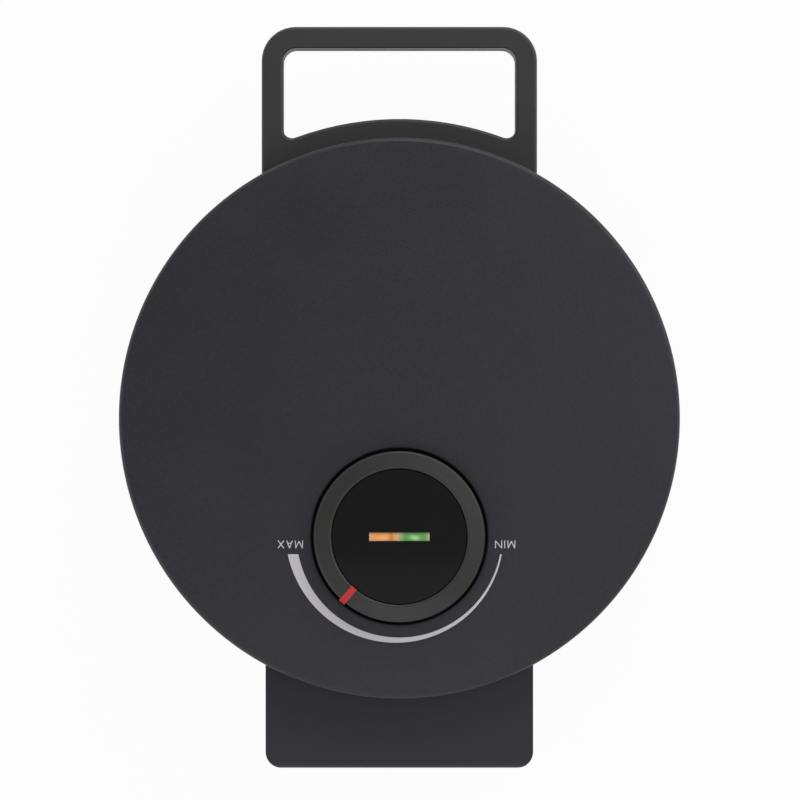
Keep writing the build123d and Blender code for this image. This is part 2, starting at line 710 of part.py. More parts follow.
# Cast plate as it lies in the lid: rim and heart pockets below, element groove on the back
HEART_FLOOR_Z = UPPER_RIM_Z + CAVITY_DEPTH
with BuildPart() as casting:
    with BuildSketch(at_body(UPPER_RIM_Z)):
        Circle(PLATE_R)
    extrude(amount=CAVITY_DEPTH + PLATE_WEB)
    fillet(casting.edges().sort_by(Axis.Z)[-1], PLATE_EDGE_R)
    with BuildSketch(at_body(UPPER_RIM_Z)):
        Circle(RECESS_R)
    extrude(amount=RECESS_DEPTH, mode=Mode.SUBTRACT)
    for index in range(HEARTS):
        with BuildSketch(heart_plane(index, UPPER_RIM_Z + RECESS_DEPTH)):
            add(heart(0))
        with BuildSketch(heart_plane(index, HEART_FLOOR_Z)):
            add(heart(HEART_DRAFT))
        loft(ruled=True, mode=Mode.SUBTRACT)
        floor = heart_plane(index, HEART_FLOOR_Z)
        facing_down = Plane(origin=floor.origin, x_dir=floor.x_dir, z_dir=-floor.z_dir)
        with BuildSketch(facing_down):
            with Locations(*[(x, -y) for x, y in BUMP_POINTS]):
                Rectangle(BUMP_W, BUMP_W)
        extrude(amount=BUMP_H, taper=BUMP_DRAFT)
    # Two ridges guide the tubular element on the back
    ridge_step = ELEMENT_D / 2 + RIDGE_GAP
    for inner in (ELEMENT_R - ridge_step - RIDGE_W, ELEMENT_R + ridge_step):
        with BuildSketch(at_body(PLATE_BACK_Z)):
            Circle(inner + RIDGE_W)
            Circle(inner, mode=Mode.SUBTRACT)
            with PolarLocations(ELEMENT_R / 2, 1, start_angle=ELEMENT_GAP_ANGLE):
                Rectangle(ELEMENT_R * 2, ELEMENT_R * 0.9, mode=Mode.SUBTRACT)
        extrude(amount=RIDGE_H)
    CLAMP_POINTS = ring_points(ELEMENT_R - CLAMP_SCREW_PITCH / 2, CLAMP_ANGLES) + ring_points(
        ELEMENT_R + CLAMP_SCREW_PITCH / 2, CLAMP_ANGLES
    )
    with BuildSketch(Plane.XY.offset(PLATE_BACK_Z)):
        with Locations(*CLAMP_POINTS):
            Circle(CLAMP_BOSS_D / 2)
    extrude(amount=CLAMP_Z - PLATE_BACK_Z)
    with BuildSketch(Plane.XY.offset(PLATE_BACK_Z)):
        with Locations(*CLAMP_POINTS):
            Circle(CLAMP_SCREW_D / 2 + CONTACT)
    extrude(amount=CLAMP_Z - PLATE_BACK_Z, mode=Mode.SUBTRACT)


def mounting_bosses(back_z, end_z):
    """Four bosses from a plate's back to its mounting, each with a blind screw hole."""
    with BuildPart() as bosses:
        with BuildSketch(Plane.XY.offset(back_z)):
            with Locations(*ring_points(POST_R, MOUNT_ANGLES)):
                Circle(BOSS_D / 2)
        extrude(amount=end_z - back_z)
    return bosses.part


def blind_holes(back_z, end_z):
    """Screw holes of the mounting bosses."""
    with BuildPart() as holes:
        with BuildSketch(Plane.XY.offset(back_z)):
            with Locations(*ring_points(POST_R, MOUNT_ANGLES)):
                Circle(MOUNT_SCREW_D / 2 + CONTACT)
        extrude(amount=end_z - back_z)
    return holes.part


THERMOSTAT_PAD_X = (BRACKET_X0 + BRACKET_X1) / 2
BRACKET_SCREWS = [(BRACKET_SCREW_X, side * BRACKET_SCREW_Y) for side in (1, -1)]
with BuildPart() as upper_baking_plate:
    add(casting.part)
    add(mounting_bosses(PLATE_BACK_Z, UPPER_REFLECTOR_Z))
    add(blind_holes(PLATE_BACK_Z + 1, UPPER_REFLECTOR_Z), mode=Mode.SUBTRACT)
    with BuildSketch(at_knob(PLATE_BACK_Z)):
        with Locations((THERMOSTAT_PAD_X, 0)):
            Rectangle(BRACKET_X1 - BRACKET_X0, BRACKET_W)
    extrude(amount=PAD_H)
    with BuildSketch(at_knob(PLATE_BACK_Z + PAD_H)):
        with Locations(*BRACKET_SCREWS):
            Circle(BRACKET_SCREW_D / 2 + CONTACT)
    extrude(amount=-BRACKET_SCREW_L + BRACKET_T, mode=Mode.SUBTRACT)
keep(upper_baking_plate, "upper_baking_plate")

with BuildPart() as lower_baking_plate:
    mirror(casting.part, about=PARTING_PLANE)
    add(mounting_bosses(LOWER_BACK_Z, LOWER_REFLECTOR_Z + REFLECTOR_T))
    add(blind_holes(LOWER_BACK_Z - 1, LOWER_REFLECTOR_Z + REFLECTOR_T), mode=Mode.SUBTRACT)
keep(lower_baking_plate, "lower_baking_plate")

# Tubular heating element: most of a circle, with both ends turned in at the gap
GAP_ANGLES = (
    ELEMENT_GAP_ANGLE + ELEMENT_GAP_HALF,
    ELEMENT_GAP_ANGLE - ELEMENT_GAP_HALF + 360,
)
with BuildPart() as upper_heating_element:
    with BuildLine() as element_path:
        turn = GAP_ANGLES[1] - GAP_ANGLES[0]
        arc = CenterArc((0, BODY_Y, ELEMENT_Z), ELEMENT_R, GAP_ANGLES[0], turn)
        for end, side in ((arc @ 0, -1), (arc @ 1, 1)):
            axis = Vector(0, BODY_Y, ELEMENT_Z)
            inward = (axis - end).normalized()
            tangent = (arc % 0) * -1 if side < 0 else arc % 1
            bend_centre = end + inward * ELEMENT_BEND
            bend_end = bend_centre + tangent * ELEMENT_BEND
            TangentArc(end, bend_end, tangent=tangent)
            Line(bend_end, bend_end + inward * (ELEMENT_R - ELEMENT_END_R - ELEMENT_BEND))
    straight_runs = element_path.edges().filter_by(GeomType.LINE)
    ends = element_path.vertices().sort_by_distance((0, BODY_Y, ELEMENT_Z))[0:2]

    def outward_at(vertex):
        """Direction out of the element at the end of its straight run."""
        run = [edge for edge in straight_runs if vertex in edge.vertices()][0]
        return (Vector(vertex) - run.center()).normalized()

    first_end = straight_runs[0].vertices().sort_by_distance((0, BODY_Y, ELEMENT_Z))[0]
    with BuildSketch(Plane(origin=Vector(first_end), z_dir=-outward_at(first_end))):
        Circle(ELEMENT_D / 2)
    sweep(path=element_path.wire())
    for vertex in ends:
        with BuildSketch(Plane(origin=Vector(vertex), z_dir=outward_at(vertex))):
            Circle(PIN_D / 2)
        extrude(amount=PIN_L)
    TERMINALS = [Vector(vertex) + outward_at(vertex) * PIN_L for vertex in ends]
keep(upper_heating_element, "upper_heating_element")

with BuildPart() as lower_heating_element:
    mirror(upper_heating_element.part, about=PARTING_PLANE)
keep(lower_heating_element, "lower_heating_element")

# Straps that clamp the element into its groove, and their screws
with BuildPart() as upper_element_clamps:
    for angle in CLAMP_ANGLES:
        a = radians(angle)
        strap = Plane(origin=(0, BODY_Y, CLAMP_Z), x_dir=(cos(a), sin(a), 0), z_dir=(0, 0, 1))
        with BuildSketch(strap):
            with Locations((ELEMENT_R, 0)):
                SlotCenterToCenter(CLAMP_SCREW_PITCH, CLAMP_BOSS_D)
                Rectangle(CLAMP_SCREW_PITCH / 2, CLAMP_W)
            with Locations((ELEMENT_R, 0)):
                with Locations((-CLAMP_SCREW_PITCH / 2, 0), (CLAMP_SCREW_PITCH / 2, 0)):
                    Circle(CLAMP_SCREW_D / 2 + CONTACT, mode=Mode.SUBTRACT)
        extrude(amount=CLAMP_T)
keep(upper_element_clamps, "upper_element_clamps")

with BuildPart() as lower_element_clamps:
    mirror(upper_element_clamps.part, about=PARTING_PLANE)
keep(lower_element_clamps, "lower_element_clamps")

with BuildPart() as upper_clamp_screws:
    for x, y in CLAMP_POINTS:
        add(screw(CLAMP_SCREW_D, CLAMP_SCREW_L, CLAMP_HEAD_D, CLAMP_HEAD_H, (x, y, CLAMP_Z + CLAMP_T), -1))
keep(upper_clamp_screws, "upper_clamp_screws")

with BuildPart() as lower_clamp_screws:
    mirror(upper_clamp_screws.part, about=PARTING_PLANE)
keep(lower_clamp_screws, "lower_clamp_screws")

# Heat reflectors: thin dished sheets clamped between the bosses and their mountings
with BuildPart() as upper_reflector:
    add(
        revolved(
            [
                (0, UPPER_REFLECTOR_Z),
                (REFLECTOR_R - REFLECTOR_T, UPPER_REFLECTOR_Z),
                (REFLECTOR_R, UPPER_REFLECTOR_Z - REFLECTOR_LIP),
                (REFLECTOR_R + REFLECTOR_T, UPPER_REFLECTOR_Z - REFLECTOR_LIP),
                (REFLECTOR_R, UPPER_REFLECTOR_Z + REFLECTOR_T),
                (0, UPPER_REFLECTOR_Z + REFLECTOR_T),
            ]
        )
    )
    with BuildSketch(Plane.XY.offset(UPPER_REFLECTOR_Z)):
        with Locations(*ring_points(POST_R, MOUNT_ANGLES)):
            Circle(MOUNT_SCREW_D / 2 + FIT)
        with Locations((THERMOSTAT_PAD_X, KNOB_Y + (TAB_Y - LEG_OUT_R) / 2)):
            RectangleRounded(BRACKET_X1 - BRACKET_X0 + 5, TAB_Y + LEG_OUT_R + 2, 3)
    extrude(amount=REFLECTOR_T, mode=Mode.SUBTRACT)
keep(upper_reflector, "upper_reflector")

TERMINAL_HOLE = 9.0
with BuildPart() as lower_reflector:
    add(
        revolved(
            [
                (0, LOWER_REFLECTOR_Z),
                (REFLECTOR_R, LOWER_REFLECTOR_Z),
                (REFLECTOR_R + REFLECTOR_T, LOWER_REFLECTOR_Z + REFLECTOR_LIP),
                (REFLECTOR_R, LOWER_REFLECTOR_Z + REFLECTOR_LIP),
                (REFLECTOR_R - REFLECTOR_T, LOWER_REFLECTOR_Z + REFLECTOR_T),
                (0, LOWER_REFLECTOR_Z + REFLECTOR_T),
            ]
        )
    )
    with BuildSketch(Plane.XY.offset(LOWER_REFLECTOR_Z)):
        with Locations(*ring_points(POST_R, MOUNT_ANGLES)):
            Circle(MOUNT_SCREW_D / 2 + FIT)
        with Locations(*[(t.X, t.Y) for t in TERMINALS]):
            Circle(TERMINAL_HOLE / 2)
    extrude(amount=REFLECTOR_T, mode=Mode.SUBTRACT)
keep(lower_reflector, "lower_reflector")

# Plate screws: up through the base, and down through the arms of the lid frame
ARM_Z = UPPER_REFLECTOR_Z + REFLECTOR_T
with BuildPart() as base_plate_screws:
    for x, y in ring_points(POST_R, MOUNT_ANGLES):
        add(screw(MOUNT_SCREW_D, BASE_SCREW_L, MOUNT_HEAD_D, MOUNT_HEAD_H, (x, y, HEAD_WELL_Z), 1))
keep(base_plate_screws, "base_plate_screws")

with BuildPart() as lid_plate_screws:
    for x, y in ring_points(POST_R, MOUNT_ANGLES):
        base = (x, y, ARM_Z + ARM_T)
        add(screw(MOUNT_SCREW_D, LID_SCREW_L, MOUNT_HEAD_D, MOUNT_HEAD_H, base, -1))
keep(lid_plate_screws, "lid_plate_screws")

# Lid frame: ring with spigot, upper handle, rear tongue, plate arms and hinge knuckles
COVER_IN = BODY_R - COVER_WALL
SPIGOT_OUT = COVER_IN - FIT
SPIGOT_IN = SPIGOT_OUT - SPIGOT_WALL
with BuildPart() as tongue:
    with BuildSketch(side_plane(-TONGUE_W / 2)) as tongue_side:
        with Locations(((BODY_Y + REAR_Y) / 2, (TONGUE_FOOT_Z + TONGUE_TOP_Z) / 2)):
            Rectangle(TONGUE_REACH, TONGUE_TOP_Z - TONGUE_FOOT_Z)
        fillet(tongue_side.vertices().group_by(Axis.Y)[-1].sort_by(Axis.Z)[-1], TONGUE_TOP_R)
    extrude(amount=TONGUE_W)
    with BuildSketch(Plane.XY.offset(TONGUE_FOOT_Z)):
        with Locations((0, (BODY_Y + REAR_Y) / 2)):
            RectangleRounded(TONGUE_W, TONGUE_REACH, TONGUE_CORNER_R)
    extrude(amount=TONGUE_TOP_Z - TONGUE_FOOT_Z, mode=Mode.INTERSECT)
    with BuildSketch(side_plane(-TONGUE_W / 2 + TONGUE_WALL)) as tongue_hollow:
        with Locations((BODY_Y, TONGUE_FOOT_Z)):
            Rectangle(
                TONGUE_REACH - TONGUE_WALL,
                TONGUE_TOP_Z - TONGUE_SKIN - TONGUE_FOOT_Z,
                align=(Align.MIN, Align.MIN),
            )
        fillet(
            tongue_hollow.vertices().group_by(Axis.Y)[-1].sort_by(Axis.Z)[-1],
            TONGUE_INNER_R,
        )
    extrude(amount=TONGUE_W - 2 * TONGUE_WALL, mode=Mode.SUBTRACT)

with BuildPart() as lid_frame:
    add(tongue.part)
    add(handle_loop(UPPER_HANDLE_Z, 0))
    with BuildSketch(at_body(FRAME_RIM_Z - 1)):
        Circle(RING_IN)
    extrude(amount=TONGUE_TOP_Z - FRAME_RIM_Z + 2, mode=Mode.SUBTRACT)
    add(
        revolved(
            [
                (RING_IN, FRAME_RIM_Z),
                (RING_OUT, FRAME_RIM_Z),
                (RING_OUT, SEAM_Z),
                (SPIGOT_OUT, SEAM_Z),
                (SPIGOT_OUT, SPIGOT_TOP_Z),
                (SPIGOT_IN, SPIGOT_TOP_Z),
                (SPIGOT_IN, LEDGE_Z),
                (RING_IN, LEDGE_Z),
            ]
        )
    )
    for angle in MOUNT_ANGLES:
        a = radians(angle)
        arm = Plane(origin=(0, BODY_Y, ARM_Z), x_dir=(cos(a), sin(a), 0), z_dir=(0, 0, 1))
        with BuildSketch(arm):
            with Locations(((POST_R + RING_IN) / 2, 0)):
                Rectangle(RING_IN - POST_R + 2, ARM_W)
            with Locations((POST_R, 0)):
                Circle(ARM_W / 2)
                Circle(MOUNT_SCREW_D / 2 + FIT, mode=Mode.SUBTRACT)
        extrude(amount=ARM_T)
    for x0, x1 in LID_KNUCKLES:
        with BuildSketch(side_plane(x0)):
            with Locations((HINGE_Y, HINGE_Z)):
                Circle(LID_KNUCKLE_R)
            with Locations((HINGE_Y, (HINGE_Z + TONGUE_TOP_Z - 1) / 2)):
                Rectangle(2 * LID_KNUCKLE_R, TONGUE_TOP_Z - 1 - HINGE_Z)
        extrude(amount=x1 - x0)
        with BuildSketch(side_plane(x0)):
            with Locations((HINGE_Y, HINGE_Z)):
                Circle(HINGE_PIN_D / 2 + HINGE_RUN)
        extrude(amount=x1 - x0, mode=Mode.SUBTRACT)
    # Hole for the lead from the tongue into the lid
    with BuildSketch(Plane.XZ.offset(-BODY_Y - RING_IN + SHELL_WALL)):
        with Locations((FLEX_OUT, FLEX_Z)):
            Circle(FLEX_D / 2 + FIT)
    extrude(amount=-3 * SHELL_WALL, mode=Mode.SUBTRACT)
keep(lid_frame, "lid_frame")

# Hinge pins, one each side, with a head outside and a clip inside
PIN_START = KNUCKLE_X - CLIP_GAP - CLIP_T - PIN_TAIL
PIN_END = HINGE_END_X + CLIP_GAP
with BuildPart() as hinge_pins:
    for side in (1, -1):
        shank = Plane(origin=(side * PIN_START, HINGE_Y, HINGE_Z), z_dir=(side, 0, 0))
        with BuildSketch(shank):
            Circle(HINGE_PIN_D / 2)
        extrude(amount=PIN_END - PIN_START)
        with BuildSketch(shank.offset(PIN_END - PIN_START)):
            Circle(CLIP_D / 2)
        extrude(amount=PIN_HEAD_T)
        with BuildSketch(shank.offset(PIN_TAIL)):
            Circle(HINGE_PIN_D / 2)
            Circle(HINGE_PIN_D / 2 - CLIP_GROOVE, mode=Mode.SUBTRACT)
        extrude(amount=CLIP_T, mode=Mode.SUBTRACT)
keep(hinge_pins, "hinge_pins")

with BuildPart() as hinge_pin_clips:
    for side in (1, -1):
        groove = Plane(
            origin=(side * (PIN_START + PIN_TAIL + CONTACT), HINGE_Y, HINGE_Z),
            z_dir=(side, 0, 0),
            x_dir=(0, 1, 0),
        )
        with BuildSketch(groove):
            Circle(CLIP_D / 2)
            Circle(HINGE_PIN_D / 2 - CLIP_GROOVE + CONTACT, mode=Mode.SUBTRACT)
            with Locations((CLIP_D / 2, 0)):
                Rectangle(CLIP_D, HINGE_PIN_D - 4 * CLIP_GROOVE, mode=Mode.SUBTRACT)
        extrude(amount=CLIP_T - 2 * CONTACT)
keep(hinge_pin_clips, "hinge_pin_clips")

# Lid cover: a shallow domed dish with the knob's well and snap hooks
DOME_R = ((BODY_R - SHOULDER_FILLET) ** 2 + (CROWN_Z - SHOULDER_Z) ** 2) / (2 * (CROWN_Z - SHOULDER_Z))


def dome_z(radius, thinner):
    """Height of the dome at a radius, for a surface thinner mm below the outside."""
    return CROWN_Z - DOME_R + sqrt((DOME_R - thinner) ** 2 - radius**2)


def dish(radius, thinner, bottom):
    """Solid dish under the dome: straight side, rounded shoulder and domed top."""
    with BuildPart() as solid:
        with BuildSketch(radial_section(0)) as section:
            with BuildLine():
                Polyline(
                    (radius, dome_z(radius, thinner)),
                    (radius, bottom),
                    (0, bottom),
                    (0, CROWN_Z - thinner),
                )
                ThreePointArc(
                    (0, CROWN_Z - thinner),
                    (radius / 2, dome_z(radius / 2, thinner)),
                    (radius, dome_z(radius, thinner)),
                )
            make_face()
            shoulder = section.vertices().group_by(Axis.X)[-1].sort_by(Axis.Y)[-1]
            fillet(shoulder, SHOULDER_INNER_R if thinner else SHOULDER_FILLET)
        revolve(axis=axis_at(BODY_Y))
    return solid.part


CAP_WEDGE = (LEG_OUT_R + 4) * 2


def sector(radius, from_angle, to_angle):
    """Pie-shaped sketch between two angles, wider than radius."""
    a = radians(from_angle)
    b = radians(to_angle)
    m = (a + b) / 2
    reach = radius / cos((b - a) / 2)
    with BuildSketch() as pie:
        with BuildLine():
            Polyline(
                (0, 0),
                (reach * cos(a), reach * sin(a)),
                (reach * 1.5 * cos(m), reach * 1.5 * sin(m)),
                (reach * cos(b), reach * sin(b)),
                close=True,
            )
        make_face()
    return pie.sketch


LEG_SPANS = ((270 + LEG_FROM, 270 + LEG_TO), (270 - LEG_TO, 270 - LEG_FROM))
with BuildPart() as lid_cover:
    add(dish(BODY_R, 0, SEAM_Z))
    add(dish(COVER_IN, COVER_WALL, SEAM_Z - 1), mode=Mode.SUBTRACT)
    with BuildSketch(at_knob(WELL_FLOOR_Z - WELL_FLOOR_T)):
        Circle(WELL_R + COVER_WALL)
    extrude(until=Until.NEXT)
    with BuildSketch(at_knob(WELL_FLOOR_Z)):
        Circle(WELL_R)
    extrude(amount=CROWN_Z - WELL_FLOOR_Z + 1, mode=Mode.SUBTRACT)
    with BuildSketch(at_knob(WELL_FLOOR_Z)):
        Circle(SPINDLE_HOLE_D / 2)
    extrude(amount=-WELL_FLOOR_T, mode=Mode.SUBTRACT)
    with BuildSketch(at_knob(WELL_FLOOR_Z)):
        Circle(LEG_OUT_R + FIT)
        Circle(LEG_IN_R - FIT, mode=Mode.SUBTRACT)
        add(sector(LEG_OUT_R + 4, 270 - LEG_TO - 1, 270 + LEG_TO + 1), mode=Mode.INTERSECT)
    extrude(amount=-WELL_FLOOR_T, mode=Mode.SUBTRACT)
    HOOK_OUT = SPIGOT_IN - 0.4
    HOOK_TOP_Z = LEDGE_Z - FIT
    for angle in HOOK_ANGLES:
        with BuildSketch(radial_section(angle)):
            with BuildLine():
                Polyline(
                    (HOOK_OUT - HOOK_T, dome_z(HOOK_OUT, 1.0)),
                    (HOOK_OUT - HOOK_T, HOOK_TOP_Z - HOOK_BARB_H),
                    (HOOK_OUT, HOOK_TOP_Z - HOOK_BARB_H),
                    (HOOK_OUT + HOOK_BARB, HOOK_TOP_Z - 0.6),
                    (HOOK_OUT + HOOK_BARB, HOOK_TOP_Z),
                    (HOOK_OUT, HOOK_TOP_Z),
                    (HOOK_OUT, dome_z(HOOK_OUT, 1.0)),
                    close=True,
                )
            make_face()
        extrude(amount=HOOK_W / 2, both=True)
keep(lid_cover, "lid_cover")

# Control knob: a conical ring carried by one web and a hub on the spindle
POINTER_LINE = radial_section(REST_ANGLE, KNOB_Y)
RING_INNER_R = CAP_R + CAP_GAP


def ring_top_z(radius):
    """Height of the knob's conical face."""
    slope = (KNOB_EDGE_Z - KNOB_INNER_Z) / (KNOB_R - RING_INNER_R)
    return KNOB_INNER_Z + slope * (radius - RING_INNER_R)


with BuildPart() as knob_pointer:
    with BuildSketch(POINTER_LINE):
        with BuildLine():
            Polyline(
                (RING_INNER_R, ring_top_z(RING_INNER_R) - POINTER_INSET),
                (RING_INNER_R, ring_top_z(RING_INNER_R) + POINTER_PROUD),
                (KNOB_R, ring_top_z(KNOB_R) + POINTER_PROUD),
                (KNOB_R + POINTER_WRAP, ring_top_z(KNOB_R) - POINTER_INSET),
                (KNOB_R + POINTER_WRAP * 0.6, POINTER_FOOT_Z),
                (KNOB_R - POINTER_INSET, POINTER_FOOT_Z),
                (KNOB_R - POINTER_INSET, ring_top_z(KNOB_R) - POINTER_INSET),
                close=True,
            )
        make_face()
    extrude(amount=POINTER_W / 2, both=True)
keep(knob_pointer, "knob_pointer")

with BuildPart() as control_knob:
    add(
        revolved(
            [
                (0, KNOB_FOOT_Z),
                (KNOB_R, KNOB_FOOT_Z),
                (KNOB_R, ring_top_z(KNOB_R)),
                (RING_INNER_R, ring_top_z(RING_INNER_R)),
                (RING_INNER_R, KNOB_FOOT_Z + KNOB_WEB_T),
                (0, KNOB_FOOT_Z + KNOB_WEB_T),
            ],
            KNOB_Y,
        )
    )
    crown = control_knob.edges().filter_by(GeomType.CIRCLE).sort_by(Axis.Z)[-2:]
    fillet(crown, KNOB_EDGE_R)
    add(
        revolved(
            [
                (RING_INNER_R + KNOB_WALL, KNOB_FOOT_Z),
                (KNOB_R - KNOB_WALL, KNOB_FOOT_Z),
                (KNOB_R - KNOB_WALL, ring_top_z(KNOB_R) - 2 * KNOB_WALL),
                (RING_INNER_R + KNOB_WALL, ring_top_z(KNOB_R) - 2 * KNOB_WALL),
            ],
            KNOB_Y,
        ),
        mode=Mode.SUBTRACT,
    )
    with BuildSketch(at_knob(KNOB_FOOT_Z)):
        Circle(KNOB_HUB_R)
    extrude(amount=KNOB_HUB_TOP_Z - KNOB_FOOT_Z)
    # Slot that clears the legs of the fixed cap at every setting
    with BuildSketch(at_knob(KNOB_FOOT_Z)):
        Circle(SLOT_OUT_R)
        Circle(SLOT_IN_R, mode=Mode.SUBTRACT)
        add(sector(SLOT_OUT_R, REST_ANGLE - WEB_HALF, REST_ANGLE + WEB_HALF), mode=Mode.SUBTRACT)
    extrude(amount=KNOB_WEB_T, mode=Mode.SUBTRACT)
    # D-shaped socket with room for the spring clip
    with BuildSketch(at_knob(KNOB_FOOT_Z)):
        Circle(SPINDLE_D / 2 + CONTACT)
        with Locations((0, SPINDLE_FLAT + SPRING_T + 2 * CONTACT + SPINDLE_D / 2)):
            Rectangle(SPINDLE_D * 2, SPINDLE_D, mode=Mode.SUBTRACT)
    extrude(amount=SOCKET_TOP_Z - KNOB_FOOT_Z, mode=Mode.SUBTRACT)
    add(knob_pointer.part, mode=Mode.SUBTRACT)
keep(control_knob, "control_knob")

with BuildPart() as knob_spring_clip:
    with BuildSketch(at_knob(KNOB_FOOT_Z + 0.4)):
        with Locations((0, SPINDLE_FLAT + CONTACT + SPRING_T / 2)):
            Rectangle(2.6, SPRING_T)
    extrude(amount=SPINDLE_TOP_Z - KNOB_FOOT_Z - 0.8)
keep(knob_spring_clip, "knob_spring_clip")

# Thermostat: bracket, threaded bush, stack of insulators with strips, and spindle
STACK_FOOT_Z = PLATE_BACK_Z + PAD_H + BRACKET_T
STACK_TOP_Z = BRACKET_TOP_Z - BRACKET_T
BIMETAL_Z = STACK_FOOT_Z + STACK_FOOT_H
LOWER_LEAF_Z = BIMETAL_Z + BIMETAL_T + BIMETAL_GAP
UPPER_LEAF_Z = LOWER_LEAF_Z + STRIP_T + LEAF_GAP
with BuildPart() as thermostat_bracket:
    with BuildSketch(Plane.XZ.offset(-KNOB_Y + BRACKET_W / 2)):
        with BuildLine():
            Polyline(
                (BRACKET_X0, STACK_FOOT_Z - BRACKET_T),
                (BRACKET_X1, STACK_FOOT_Z - BRACKET_T),
                (BRACKET_X1, BRACKET_TOP_Z),
                (BRACKET_X0, BRACKET_TOP_Z),
                (BRACKET_X0, STACK_TOP_Z),
                (BRACKET_X1 - BRACKET_T, STACK_TOP_Z),
                (BRACKET_X1 - BRACKET_T, STACK_FOOT_Z),
                (BRACKET_X0, STACK_FOOT_Z),
                close=True,
            )
        make_face()
    extrude(amount=-BRACKET_W)
    with BuildSketch(at_knob(STACK_FOOT_Z - BRACKET_T)):
        with Locations((STACK_X, 0)):
            Circle(STACK_RIVET_D / 2 + CONTACT)
    extrude(amount=BRACKET_TOP_Z, mode=Mode.SUBTRACT)
    with BuildSketch(at_knob(STACK_FOOT_Z)):
        with Locations(*BRACKET_SCREWS):
            Circle(BRACKET_SCREW_D / 2 + CONTACT)
    extrude(amount=-BRACKET_T, mode=Mode.SUBTRACT)
    with BuildSketch(at_knob(BRACKET_TOP_Z)):
        Circle(BUSH_D / 2)
    extrude(amount=BUSH_H)
    with BuildSketch(at_knob(STACK_TOP_Z)):
        Circle(SPINDLE_THREAD_D / 2 + CONTACT)
    extrude(amount=BUSH_H + BRACKET_T, mode=Mode.SUBTRACT)
keep(thermostat_bracket, "thermostat_bracket")

with BuildPart() as thermostat_screws:
    for x, y in BRACKET_SCREWS:
        base = (x, KNOB_Y + y, STACK_FOOT_Z)
        add(screw(BRACKET_SCREW_D, BRACKET_SCREW_L - 0.5, BRACKET_HEAD_D, BRACKET_HEAD_H, base, -1))
keep(thermostat_screws, "thermostat_screws")

stack_levels = (
    (STACK_FOOT_Z, BIMETAL_Z),
    (BIMETAL_Z + BIMETAL_T, LOWER_LEAF_Z),
    (LOWER_LEAF_Z + STRIP_T, UPPER_LEAF_Z),
    (UPPER_LEAF_Z + STRIP_T, STACK_TOP_Z),
)
with BuildPart() as thermostat_insulators:
    for low, high in stack_levels:
        with BuildSketch(at_knob(low)):
            with Locations((STACK_X, 0)):
                Circle(STACK_D / 2)
                Circle(STACK_RIVET_D / 2 + CONTACT, mode=Mode.SUBTRACT)
        extrude(amount=high - low)
keep(thermostat_insulators, "thermostat_insulators")


def strip(bottom, thickness, inner_x, tab_y):
    """Flat spring strip through the stack, from inner_x to a side tab past the stack."""
    with BuildPart() as leaf:
        with BuildSketch(at_knob(bottom)):
            with Locations(((inner_x + STACK_X) / 2, 0)):
                Rectangle(STACK_X - inner_x, STRIP_W)
            with Locations((STACK_X, 0)):
                Circle(STACK_D / 2)
            if tab_y:
                with Locations((STACK_X, tab_y / 2)):
                    Rectangle(STRIP_W - 1, abs(tab_y))
            with Locations((STACK_X, 0)):
                Circle(STACK_RIVET_D / 2 + CONTACT, mode=Mode.SUBTRACT)
        extrude(amount=thickness)
    return leaf.part


with BuildPart() as thermostat_bimetal:
    add(strip(BIMETAL_Z, BIMETAL_T, LEAF_TIP_X, 0))
    with BuildSketch(at_knob(BIMETAL_Z + BIMETAL_T)):
        with Locations((LEAF_TIP_X + 2, 0)):
            Circle(1)
    extrude(amount=LOWER_LEAF_Z - BIMETAL_Z - BIMETAL_T - FIT)
keep(thermostat_bimetal, "thermostat_bimetal")

with BuildPart() as thermostat_leaves:
    add(strip(LOWER_LEAF_Z, STRIP_T, LEAF_TIP_X, TAB_Y))
    add(strip(UPPER_LEAF_Z, STRIP_T, LEAF_TIP_X, -TAB_Y))
    for bottom in (LOWER_LEAF_Z + STRIP_T, UPPER_LEAF_Z - CONTACT_H):
        with BuildSketch(at_knob(bottom)):
            with Locations((LEAF_TIP_X + 3, 0)):
                Circle(CONTACT_D / 2)
        extrude(amount=CONTACT_H)
keep(thermostat_leaves, "thermostat_leaves")

with BuildPart() as thermostat_rivet:
    with BuildSketch(at_knob(STACK_FOOT_Z - BRACKET_T)):
        with Locations((STACK_X, 0)):
            Circle(STACK_RIVET_D / 2)
    extrude(amount=BRACKET_TOP_Z - STACK_FOOT_Z + BRACKET_T)
    with BuildSketch(at_knob(BRACKET_TOP_Z)):
        with Locations((STACK_X, 0)):
            Circle(STACK_HEAD_D / 2)
    extrude(amount=STACK_HEAD_H)
keep(thermostat_rivet, "thermostat_rivet")

with BuildPart() as thermostat_spindle:
    add(
        revolved(
            [
                (0, UPPER_LEAF_Z + STRIP_T + FIT),
                (SPINDLE_TIP_D / 2, UPPER_LEAF_Z + STRIP_T + FIT),
                (SPINDLE_TIP_D / 2, STACK_TOP_Z - 2),
                (SPINDLE_THREAD_D / 2, STACK_TOP_Z - 2),
                (SPINDLE_THREAD_D / 2, BRACKET_TOP_Z + BUSH_H + 0.5),
                (SPINDLE_D / 2, BRACKET_TOP_Z + BUSH_H + 0.5),
                (SPINDLE_D / 2, SPINDLE_TOP_Z),
                (0, SPINDLE_TOP_Z),
            ],
            KNOB_Y,
        )
    )
    with BuildSketch(at_knob(BRACKET_TOP_Z + BUSH_H + 2)):
        with Locations((0, SPINDLE_FLAT + SPINDLE_D / 2)):
            Rectangle(SPINDLE_D * 2, SPINDLE_D)
    extrude(amount=SPINDLE_TOP_Z - BRACKET_TOP_Z - BUSH_H, mode=Mode.SUBTRACT)
keep(thermostat_spindle, "thermostat_spindle")

